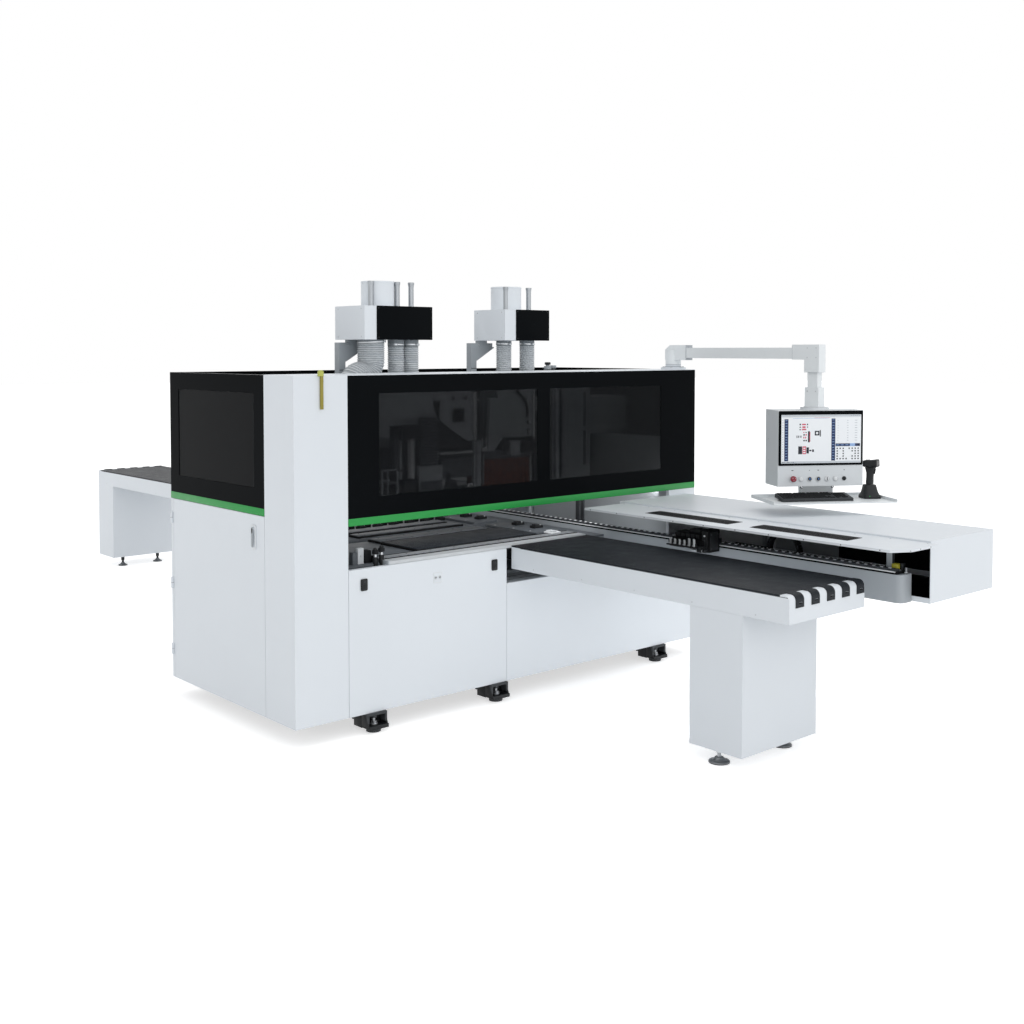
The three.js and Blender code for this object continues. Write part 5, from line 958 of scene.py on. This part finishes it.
# Deep black strips beside the ledge's scale strip are painted shade in the gaps.
table.boxes([
    (552, 1950, 0.3, 68, 834, 852, LIGHT_GREY, 2), (552, 1950, 68, 80, 838, 854, BLACK_AND_PAINTED_SHADE, 0),
    (560, 1950, 80, 158, 836, 853, STRIP_GREY, 1),
])
for i in range(28):
    table.box((590 + i * 50, 593 + i * 50), (84, 98 if i % 2 else 112), (852.9, 853.4), MARK, 0)
table.studs(range(600, 1900, 160), (138,), (852.8,), (0, 0, 1.2), 5, DARK, 16, 0.4)
table.box((552, 1950), (158, 166), (834, 854), BLACK_AND_PAINTED_SHADE, 0)
table.box((546, 552.2), (0.5, 60), (818, 855), GREY, 1)
# Each slab stands on a deep black layer whose rim shows round its top as a painted shadow line; its screw holes are
# deep black discs of painted shade.
for x0, x1, y0, y1 in [(878, 1757, 195, 545), (886, 1690, 557, 683), (900, 1680, 796, 900), (905, 1670, 945, 1050)]:
    table.prism(rounded(x0, x1, y0, y1, 5), "z", 836, 848, BLACK_AND_PAINTED_SHADE, 1)
    table.prism(rounded(x0 + 9, x1 - 9, y0 + 12, y1 - 7, 4), "z", 846, 852, TOP if y0 < 200 else TABLE_GREY, 1)
    table.studs(range(x0 + 60, x1 - 20, 180), (y0 + 22, y1 - 22), (851.8,), (0, 0, 0.7), 5, BLACK_AND_PAINTED_SHADE, 14, 0.2)
for y in [(220, 683.7), (795.3, 1190)]:
    table.box((1762, 1950), y, (836, 852), TABLE_GREY, 1.5)
for x in (620, 1240, 1860):
    table.box((x + 20, x + 60), (52, 1302), (780, 815), DARK, 2)
    table.box((x, x + 20), (52, 1302), (780, 815), GREY, 2)
table.studs((1785,), (300, 450, 620, 900, 1060), (852,), (0, 0, 1.6), 6, STEEL, 16, 0.4)
for y, dx in [(352, 0), (520, 0), (870, -6), (1010, -12)]:
    table.box((1868 + dx, 1938 + dx), (y, y + 46), (851.8, 866), RUBBER, 3)
    table.box((1880 + dx, 1916 + dx), (y + 6, y + 40), (865.8, 873.6), BLACK_METAL, 2.5)
    table.rod((1926 + dx, y + 16, 865.8), (1926 + dx, y + 16, 871), 7, STEEL, 18, 0.8)
table.box((1798, 1872), (128, 196), (852, 860), PALE, 2)
table.box((1806, 1846), (136, 188), (859.8, 868), LIGHT_GREY, 2)
table.rod((1858, 150, 859.8), (1858, 150, 866), 6, STEEL, 18, 0.8)
# Guide blocks in two staggered rows
for i in range(14):
    x = 330.3 + 1569.7 * i / 13
    for y, dx in [(1134, 0), (1064, 38)]:
        if y == 1134 or 2 < i < 12:
            table.box((x + dx, x + dx + 50), (y, y + 45), (838, 858), RUBBER, 3)
            table.prism([(y + 4, 857.8), (y + 41, 857.8), (y + 34, 870), (y + 12, 870)], "x", x + dx + 6, x + dx + 38,
                        BLACK_METAL, 1.5)
            table.rod((x + dx + 43, y + 22, 857.8), (x + dx + 43, y + 22, 863), 4.5, STEEL, 16, 0.6)
for i in range(22):
    table.box((920 + i * 36, 942 + i * 36), (1196, 1208), (838, 850), [LIGHT_GREY, DARK][i % 2], 1)
# Stop group at the left end: plate, light bar, black cylinders with bright rods
table.boxes([
    (400, 428, 100, 250, 728, 838, GREY, 2), (396, 424, 96, 128, 728, 900, TABLE_GREY, 2.5),
    (430, 466, 100, 126, 728, 918, LIGHT_GREY, 2.5),
])
table.studs((448,), (100,), (760, 820, 880), (0, -2.6, 0), 5, STEEL, 16, 0.6)
table.boxes([
    (474, 566, 104, 150, 728, 836, BLACK_METAL, 3), (474, 512, 100, 140, 836, 902, RUBBER, 3),
    (520, 548, 96, 126, 836, 872, BLACK_METAL, 2),
])
table.studs((482, 534), (92,), (780,), (0, 0, 56), 7, STEEL, 20)
table.studs((482, 534), (92,), (728,), (0, 0, 54), 12, BLACK_METAL, 24, 1.5)
for x, top in [(510, 918), (548, 926)]:
    table.rod((x, 62, 800), (x, 62, top - 46), 13, BLACK_METAL, 28, 1.5)
    table.studs((x,), (62,), (top - 48,), (0, 0, 18), 8, STEEL, 24)
    table.studs((x,), (62,), (top - 32,), (0, 0, 22), 17, RUBBER, 28, 4)
    table.studs((x,), (62,), (top - 12,), (0, 0, 12), 11, BLACK, 28, 4)
    table.box((x - 16, x + 16), (46, 100), (796, 812), BLACK_METAL, 2)
table.done("work_table")

shelf = Piece("inner_shelf", "machine", "grey_paint")
shelf.boxes([
    (1344.4, 2880, 25.2, 640, 626, 634, LIGHT_GREY, 1), (1344.4, 1362, 28, 400, 634, 815, GREY, 1),
    (2425, 2475, 540, 574, 634, 1110.8, DARK, 3), (2417, 2483, 532, 574, 634, 644, DARK, 2),
    (2440, 2460, 538.6, 540.2, 660, 1100, BLACK_METAL, 0.4),
])
for y in (96, 168):
    shelf.box((1340, 2120), (y, y + 5), (634, 634.6), DARK, 0)
shelf.box((1340, 2120), (240, 300), (634, 652), GREY, 2)
shelf.box((1949.4, 2131), (30, 1275), (818, 829), TABLE_GREY, 1.5)
shelf.done()

# Clamp rail: base, rail with deep black discs of painted shade for its screw holes and pale chevrons of painted
# highlight, rack beside it
RAIL = Finish("rail_steel", (62, 66, 70), 0.36, metal=0.3, vary=0.1, vary_scale=25, relief=0.2)
rail = Piece("clamp_rail_detailed", "machine", "steel")
rail.box((2139.5, 2204), (BEAM_START, BEAM_END), (855.3, 862.6), BLACK_AND_PAINTED_SHADE, 0.5)
profile = [
    (2143, 862.4), (2143, 868), (2146.5, 870.5), (2146.5, 874.5), (2143.5, 877), (2143.5, 879.2), (2145, 880.3),
    (2175, 880.3), (2176.5, 879.2), (2176.5, 877), (2173.5, 874.5), (2173.5, 870.5), (2177, 868), (2177, 862.4),
]
rail.prism(profile, "y", BEAM_START + 0.4, BEAM_END - 0.4, RAIL, 0)
# Deep black discs on the rail's top are painted shade in its screw holes; the pale chevrons between them are painted
# highlights.
hole_shade_disc = [(0, 0), (8.6, 0), (9, 0.3), (9, 0.5), (0, 0.5)]
for i in range(116):
    y = -1876 + i * 44
    rail.turned(hole_shade_disc, BLACK_AND_PAINTED_SHADE, (2160, y, 880), sides=16)
    glint_chevron = [(2146, y + 6), (2160, y + 13), (2175, y + 22), (2175, y + 38), (2160, y + 30), (2146, y + 22)]
    rail.prism(glint_chevron, "z", 880, 880.5, PALE, 0)
teeth = []
for i in range(255):
    y = -1890 + i * 20
    teeth += [(y, 866), (y + 4, 871.4), (y + 10, 871.4), (y + 14, 866)]
rail.prism([(-1890, 862.4)] + teeth + [(BEAM_END, 866), (BEAM_END, 862.4)], "x", 2190.5, 2203.5, STEEL, 0)
# A pale strip on the rail's left face is a painted highlight.
rail.box((2141.6, 2143.4), (BEAM_START + 1, BEAM_END - 1), (863.2, 869), PALE, 0.3)
rail.box((2186, 2204.5), (BEAM_START - 2, BEAM_END), (862.4, 864.6), BLACK_METAL, 0.4)
rail.done("clamp_rail")

# Fixed cable chain on the beam with its bend in the housing, and the end stop
chain = Piece("clamp_cable_chain", "machine", "black_plastic")
for i in range(46):
    y = -1846 + i * 24
    chain.box((2207, 2232), (y, y + 21), (856, 874), RUBBER, 2.5)
    chain.box((2205.5, 2208), (y + 6, y + 17), (860, 870), BLACK_METAL, 1)
    chain.rod((2219, y + 10.5, 873.6), (2219, y + 10.5, 876.5), 4.2, PALE if i % 2 else STEEL, 14, 0.6)
LINKS = 22
loop = [Vector((2290, y, z)) for y, z in arc(-1150, 862, 95, 0, 180, LINKS)]
for i, (p, q) in enumerate(zip(loop, loop[1:])):
    middle = (p + q) / 2
    turn = Matrix.Rotation(math.pi / 2 + math.pi * (i + 0.5) / LINKS, 4, "X")
    chain.box(*[(c - h, c + h) for c, h in zip(middle, (17, 6.4, 10))], RUBBER, 2, 2, turn)
chain.box((2273, 2307), (-1060, -820), (846, 866), RUBBER, 3)
chain.box((2290, 2330), (-1260, -900), (728, 760), BLACK_METAL, 4)
chain.done()
stop_end = Piece("beam_end_stop", "machine", "black_metal")
stop_end.boxes([
    (2184, 2228, -1886, -1840, 864, 868, BLACK_METAL, 1), (2186, 2226, -1878, -1846, 867.8, 897, YELLOW, 3),
    (2190, 2222, -1880, -1877.6, 874, 890, YELLOW, 1), (2204, 2230, -1896, -1880, 856, 902, BLACK_METAL, 3),
])
stop_end.rod((2214, -1908, 856), (2214, -1908, 862), 12, STEEL, 6, 0.8)
coil = []
for i in range(7):
    coil += [(5, 862 + i * 3), (8, 863.5 + i * 3)]
stop_end.turned([(0, 861)] + coil + [(0, 883)], STEEL, (2214, -1908, 0), sides=20)
stop_end.boxes([
    (2206, 2232, -1836, -1806, 856, 1000, GREY, 2), (2209, 2229, -1838, -1835.6, 862, 994, DARK, 0.6),
    (2139, 2206, -1904, -1896, 855.2, 868, BLACK_AND_PAINTED_SHADE, 1.5),
])
stop_end.done()


# Clamps and their jaws
def clamp(name, y0):
    body = Piece("clamp_%s_detailed" % name, "clamp_" + name, "black_metal")

    def y(low, high):
        return y0 + low, y0 + high

    body.boxes([
        (2012, 2132, 14, 257, 856.2, 868, BLACK_METAL, 2), (2030, 2132, 30, 250, 867.8, 899, BLACK_AND_PAINTED_SHADE, 3),
        (2128, 2188, 28, 257, 881, 899.6, BLACK_METAL, 2.5), (2040.5, 2132.6, 0.5, 52, 835.4, 956.6, BLACK_AND_PAINTED_SHADE, 3),
        (2052, 2120, -0.4, 0.8, 848, 944, BLACK_METAL, 0.4), (2037.4, 2041, 8, 44, 846, 948, BLACK_METAL, 1),
    ], y0)
    body.rod((2037.6, y0 + 26, 925), (2033.6, y0 + 26, 925), 5.4, PALE, 24, 0.8)
    body.studs((2037.6,), (y0 + 26,), (862, 900), (-2.8, 0, 0), 4, DARK, 16, 0.6)
    body.studs((2062, 2110), (y0 - 0.2,), (858, 932), (0, -2.8, 0), 4.6, DARK, 16, 0.6)
    body.box((2044, 2128), y(60, 240), (898.6, 930), BLACK_AND_PAINTED_SHADE, 4)
    body.box((2058, 2122), y(74, 150), (929.6, 950), BLACK_METAL, 4)
    for i in range(5):
        body.box((2043, 2045), y(70 + i * 34, 92 + i * 34), (904, 924), BLACK_METAL, 0.6)
    body.rod((2020, y0 + 20, 846), (2020, y0 + 92, 846), 7.4, STEEL, 24, 1)
    body.rod((2020, y0 + 92, 846), (2020, y0 + 112, 846), 4, STEEL, 20, 0.6)
    body.rod((2020, y0 + 2, 846), (2020, y0 + 22, 846), 9.5, BLACK_METAL, 24, 1)
    body.box((2010.8, 2040), y(28, 60), (836, 858), BLACK_METAL, 2)
    body.box((2010.8, 2034), y(150, 250), (850, 857), BLACK_METAL, 1.5)
    body.rod((2100, y0 + 52, 912), (2100, y0 + 62, 912), 9, STEEL, 24, 1)
    body.studs((2152,), (y0 + 60, y0 + 140, y0 + 220), (899.4,), (0, 0, 3.6), 6, STEEL, 6, 0.6)
    body.done("clamp_" + name)
    jaw = Piece("clamp_jaw_%s_detailed" % name, "clamp_jaw_" + name, "steel")
    jaw.box((1985, 2010), y(52.3, 252), (858, 866), BLACK_METAL, 1.5)
    jaw.box((2004, 2010), y(54, 250), (865.6, 884), BLACK_METAL, 1.5)
    for i in range(6):
        at_y = y0 + 52.3 + 199.7 * (i + 0.5) / 6
        tall = 897 if i > 1 else 909
        jaw.boxes([
            (1991, 2003, at_y - 8, at_y - 2, 865.8, tall - 4, PALE, 2),
            (1991.6, 2002.4, at_y - 2.4, at_y + 7, 865.8, tall - 8, DARK, 1.5),
            (1993, 2001, at_y - 7.6, at_y + 3, tall - 6, tall, LIGHT_GREY, 2),
        ])
        jaw.rod((1991.4, at_y, 871), (1988.6, at_y, 871), 3.4, STEEL, 16, 0.4)
    jaw.done("clamp_jaw_" + name)


clamp("front", -842)
clamp("rear", 2100)

# Side housing: inner lining and floor plate; lid: brush strips and screws
BRUSH = lines(Finish("brush_strip", (26, 28, 30), 0.7, specular=0.15, vary=0.12, relief=0.5), 300, "Y", 0.6)
inside = Piece("side_housing_lining", "machine", "dark_paint")
# Painted shade: the lining is deep black at the housing's front end; further back its ceiling and floor are dark and
# its right wall grey, then light grey.
inside.boxes([
    (2824, 2831.4, -2018, -1130, 760, 1016, BLACK_AND_PAINTED_SHADE, 0), (2240, 2824, -2019.6, -2014, 726, 1016, BLACK_AND_PAINTED_SHADE, 0),
    (2238, 2824, -2014, -1130, 1006, 1016.6, BLACK_AND_PAINTED_SHADE, 0), (2240, 2831, -2014, -1100, 725.2, 729, BLACK_AND_PAINTED_SHADE, 0),
    (2240, 2831, -1100, -4, 725.2, 729, DARK, 0), (2826, 2831.4, -1130, -700, 760, 1016, GREY, 0),
    (2826, 2831.4, -700, -4, 760, 1016, LIGHT_GREY, 0), (2238, 2824, -1130, -4, 1010, 1016.6, DARK, 0),
    (2812, 2826, -640, -612, 729, 1010, GREY, 2),
])
inside.done()
lid = Piece("side_lid_trim", "machine", "white_paint")
for y0, y1 in [(-1690, -1134), (-968, -412)]:
    lid.boxes([
        (2029, 2127, y0 + 1, y1 - 1, 1009.1, 1012.3, BRUSH, 0.3),
        (1998, 2126, y0 - 34, y1 - 10, 1011.9, 1013.2, BRUSH, 0.5),
        (2061, 2063, y0 - 30, y1 - 14, 1013, 1013.8, BLACK_AND_PAINTED_SHADE, 0.2),
    ])
    lid.studs((2008, 2116), (y0 - 20, y1 - 24), (1013,), UP, 3.2, DARK, 14, 0.3)
lid.studs((1900.1,), range(-1960, 120, 208), (1006,), (-1.1, 0, 0), 3, DARK, 14, 0.3)
lid.studs((1985, 2070, 2160), (-2065.6,), (1006,), (0, -0.7, 0), 3, DARK, 14, 0.2)
lid.studs((2210,), range(-2020, 136, 196), (1012,), UP, 3.6, GREY, 16, 0.4)
lid.done()
seams = Piece("side_housing_trim", "machine", "white_paint")
seams.studs((2820,), range(-1960, 128, 232), (1020,), UP, 4, LIGHT_GREY, 16, 0.4)
seams.studs((2835,), range(-1960, 128, 232), (745,), (1, 0, 0), 4, LIGHT_GREY, 16, 0.4)
seams.done()

# Infeed and outfeed tables: the strips' notches, edge lines and screws
for (name, end), way in zip(TABLE_ENDS.items(), (-1, 1)):
    trim = Piece(name + "_table_trim", "machine", "table_top")
    low, high = sorted((end - way * 0.4, end + way * 0.25))
    for i in range(STRIP_COUNT):
        x = STRIP_LEFT + STRIP_PITCH * i
        # The deep black mark in each strip's end is painted shade in its notch.
        trim.boxes([
            (x + 24, x + 46, low, high, 803, 809, BLACK_AND_PAINTED_SHADE, 0.2), (x + 24, x + 46, low, high, 809.4, 810.4, GREY, 0.1),
            (x + 1, x + 59, low, high, 787.4, 789, RUBBER, 0.1),
        ])
    trim.done()
    frame_trim = Piece(name + "_frame_trim", "machine", "white_paint")
    low, high = (-1842, -0.5) if way < 0 else (CABINET_DEPTH + 0.5, 5649)
    for x, face, out in [(1374.7, 0.1, -1), (1961.9, 0.3, 1)]:
        frame_trim.box((x, x + 0.4), (low + 6, high - 70), (835.2, 837.9), DARK, 0)
        for k in range(5):
            y = low + 180 + (high - low - 360) * k / 4
            frame_trim.rod((x + face, y, 735), (x + face + out, y, 735), 3.4, LIGHT_GREY, 14, 0.3)
    frame_trim.done()

# Arm: seams, screws, collar rings and base bolts
arm_trim = Piece("swing_arm_trim", "swing_arm", "white_alloy", ARM)
arm_trim.boxes([
    (-31.2, 31.2, -132.4, -131.6, 1859.2, 1953.2, GREY, 0.2), (-31.3, 31.3, -947, -946, 1867.9, 1953.2, GREY, 0.2),
    (-31.2, 31.2, -1129.2, -1029.2, 1795.8, 1796.6, GREY, 0.2),
])
for side in (-1, 1):
    arm_trim.studs((side * 31,), (-1050, -1110), (1880, 1934), (side * 0.8, 0, 0), 3.4, LIGHT_GREY, 18, 0.3)
    arm_trim.studs((side * 29.2,), (-1108, -1052), (1690,), (side * 0.876, 0, 0), 3.4, STEEL, 16, 0.3)
arm_trim.turned([(49, 0), (49.6, 0.4), (49.6, 1.6), (49, 2)], GREY, (0, 0, 1831), sides=48)
arm_trim.turned([(56, 0), (60, 0), (60, 3), (56, 3)], PALE, (0, -1079.4, 1600.4), sides=48)
arm_trim.done()
base_trim = Piece("arm_base_trim", "machine", "white_paint")
for i in range(6):
    angle = math.pi * (i + 0.5) / 3
    base_trim.bolt(ARM_ROOT + Vector((65 * math.cos(angle), 65 * math.sin(angle), 1812.3)), UP, 6)
base_trim.turned([(49, 0), (51, 0.6), (51, 2.4), (49, 3)], GREY, ARM_ROOT + Vector((0, 0, 1818)), sides=48)
base_trim.done()

# Machinery that shows through the windows
inner = Piece("unit_a_front", "upper_unit_a", "grey_paint")
plate = [(763, 1449), (799, 1448), (800, 1514), (1120, 1514), (1125, 1540), (1333, 1408), (1404, 1405),
         (1409, 1543), (1387, 1686), (729, 1694), (729, 1470)]
inner.prism(plate, "y", 338, 350.2, GREY, 1.5)
# Deep black plates and discs, a fraction proud of the plate, are painted shade in its cut-outs and holes.
inner.boxes([
    (1382, 1406, 334, 338.4, 1408, 1684, LIGHT_GREY, 1.5), (729, 1387, 334, 338.4, 1678, 1690, GREY, 1.5),
    (1228, 1316, 337.2, 338.4, 1516, 1594, BLACK_AND_PAINTED_SHADE, 0.5), (1222, 1240, 337, 338.6, 1580, 1600, GREY, 2),
])
for x, z, r in [(1233, 1652, 13), (1325, 1650, 13), (1237, 1587, 6)]:
    inner.rod((x, 338.2, z), (x, 337.2, z), r, BLACK_AND_PAINTED_SHADE, 24, 0.2)
inner.prism([(1091, 1640), (1142, 1640), (1135, 1533), (1112, 1560)], "y", 336, 338.4, BLACK_AND_PAINTED_SHADE, 1)
inner.prism([(1125, 1540), (1333, 1408), (1404, 1405), (1404, 1372), (1130, 1372)], "y", 344, 350.2, DARK, 1)
for i in range(17):
    z = 1277 + i * 15.8
    inner.box((991, 1110), (318, 338), (z, z + 12.6), TABLE_GREY, 2.5)
    inner.box((1108, 1118), (322, 334), (z + 3, z + 10), STEEL, 1.5)
inner.boxes([
    (996, 1108, 324, 338.6, 1270, 1550, BLACK_METAL, 1), (977, 1141, 312, 350.2, 1126, 1286, GREY, 4),
    (985, 1133, 310.6, 312.4, 1140, 1200, TABLE_GREY, 1.5),
])
inner.box((860, 998), (306, 350.2), (1431, 1511), BLACK_METAL, 8, 3)
inner.rod((929, 322, 1429), (929, 322, 1221), 19, LIGHT_GREY, 32, 3)
inner.rod((929, 322, 1440), (929, 322, 1424), 24, STEEL, 32, 2)
inner.boxes([
    (875, 973, 308, 350.2, 1146, 1220, BLACK_METAL, 5), (827, 850, 330, 350.2, 1272, 1450, TABLE_GREY, 2),
    (860, 876, 330, 350.2, 1220, 1436, GREY, 2), (955, 967, 330, 350.2, 1220, 1436, DARK, 2),
])
for x0, x1, z0, z1 in [(731, 741, 1136, 1282), (832, 842, 1136, 1282), (731, 842, 1272, 1282), (731, 842, 1136, 1146),
                       (770, 776, 1140, 1278)]:
    inner.box((x0, x1), (318, 328), (z0, z1), GREY, 1.5)
inner.boxes([
    (842, 880, 324, 348, 1262, 1276, DARK, 1), (1133, 1368, 320, 350.2, 1338, 1352, LIGHT_GREY, 3),
    (1133, 1368, 330, 350.2, 1322, 1338, DARK, 2), (1133, 1359, 316, 350.2, 1206, 1318, TABLE_GREY, 5),
])
hook = [(1150, 1146), (1245, 1146), (1240, 1190), (1200, 1200), (1196, 1234), (1170, 1234)]
inner.prism(hook, "y", 312, 316.4, DARK, 1)
inner.box((1377, 1430), (326, 350.2), (1138, 1405), GREY, 3)
inner.box((1392, 1398), (324.6, 326.4), (1150, 1390), DARK, 0.5)
inner.studs((1338, 1360), (330,), (1140,), (0, 0, 26), 8, STEEL, 20, 2)
inner.done()
inner = Piece("unit_b_front", "upper_unit_b", "grey_paint")
plate = [(1504, 1337), (1550, 1334), (1615, 1409), (1844, 1383), (1873, 1689), (1569, 1685), (1583, 1643),
         (1523, 1644)]
inner.prism(plate, "y", 352, 378.2, GREY, 1.5)
inner.box((1850, 1866), (346, 352.4), (1395, 1684), LIGHT_GREY, 1.5)
cable = [(1719, 346, 1686), (1745, 340, 1660), (1767, 338, 1638), (1784, 338, 1612), (1796, 340, 1587),
         (1803, 342, 1556), (1805, 350, 1529)]
inner.swept(cable, 8, RUBBER, 16)
inner.studs((1815,), (352.2,), (1496, 1439), (0, -12.2, 0), 12, BLACK_METAL, 24, 2)
inner.studs((1815,), (341,), (1496, 1439), (0, -9, 0), 8, PALE, 24, 2)
inner.box((1733, 1844), (318, 372), (1318, 1385), BLACK_METAL, 8, 3)
inner.box((1662, 1738), (330, 372), (1302, 1392), GREY, 4)
inner.box((1615, 1850), (352, 378.2), (1330, 1412), DARK, 2)
for x0, x1 in [(1460, 1470), (1491, 1501)]:
    inner.box((x0, x1), (354, 366), (1360, 1417), LIGHT_GREY, 3)
inner.boxes([
    (1460, 1501, 354, 366, 1337, 1364, LIGHT_GREY, 3), (1498, 1510, 354, 366, 1337, 1350, LIGHT_GREY, 2),
    (1482, 1848, 366, 379.8, 1294, 1340, TABLE_GREY, 2),
])
tips = random.Random(7)
for i in range(60):
    x = 1486 + i * 6
    inner.box((x, x + 3), (368, 378), (1286, 1300 + tips.random() * 26), DARK if i % 3 else STEEL, 0.4, 1)
inner.box((1846, 1852), (364, 380.4), (1146, 1318), LIGHT_GREY, 1)
inner.box((1478, 1484), (364, 380.4), (1146, 1318), GREY, 1)
inner.done()
inner = Piece("window_profiles", "machine", "grey_paint")
inner.boxes([
    (2000, 2024, 304, 330, 1140, 1775.2, GREY, 3), (2026, 2036, 308, 326, 1140, 1775.2, DARK, 2),
    (2040, 2058, 304, 330, 1140, 1775.2, TABLE_GREY, 3),
])
inner.done()
INNER_GREY = Finish("inner_grey", (158, 163, 167), 0.48, specular=0.35, vary=0.04, relief=0.1)
nodes["gantry_frame"].material_slots[0].material = INNER_GREY.material
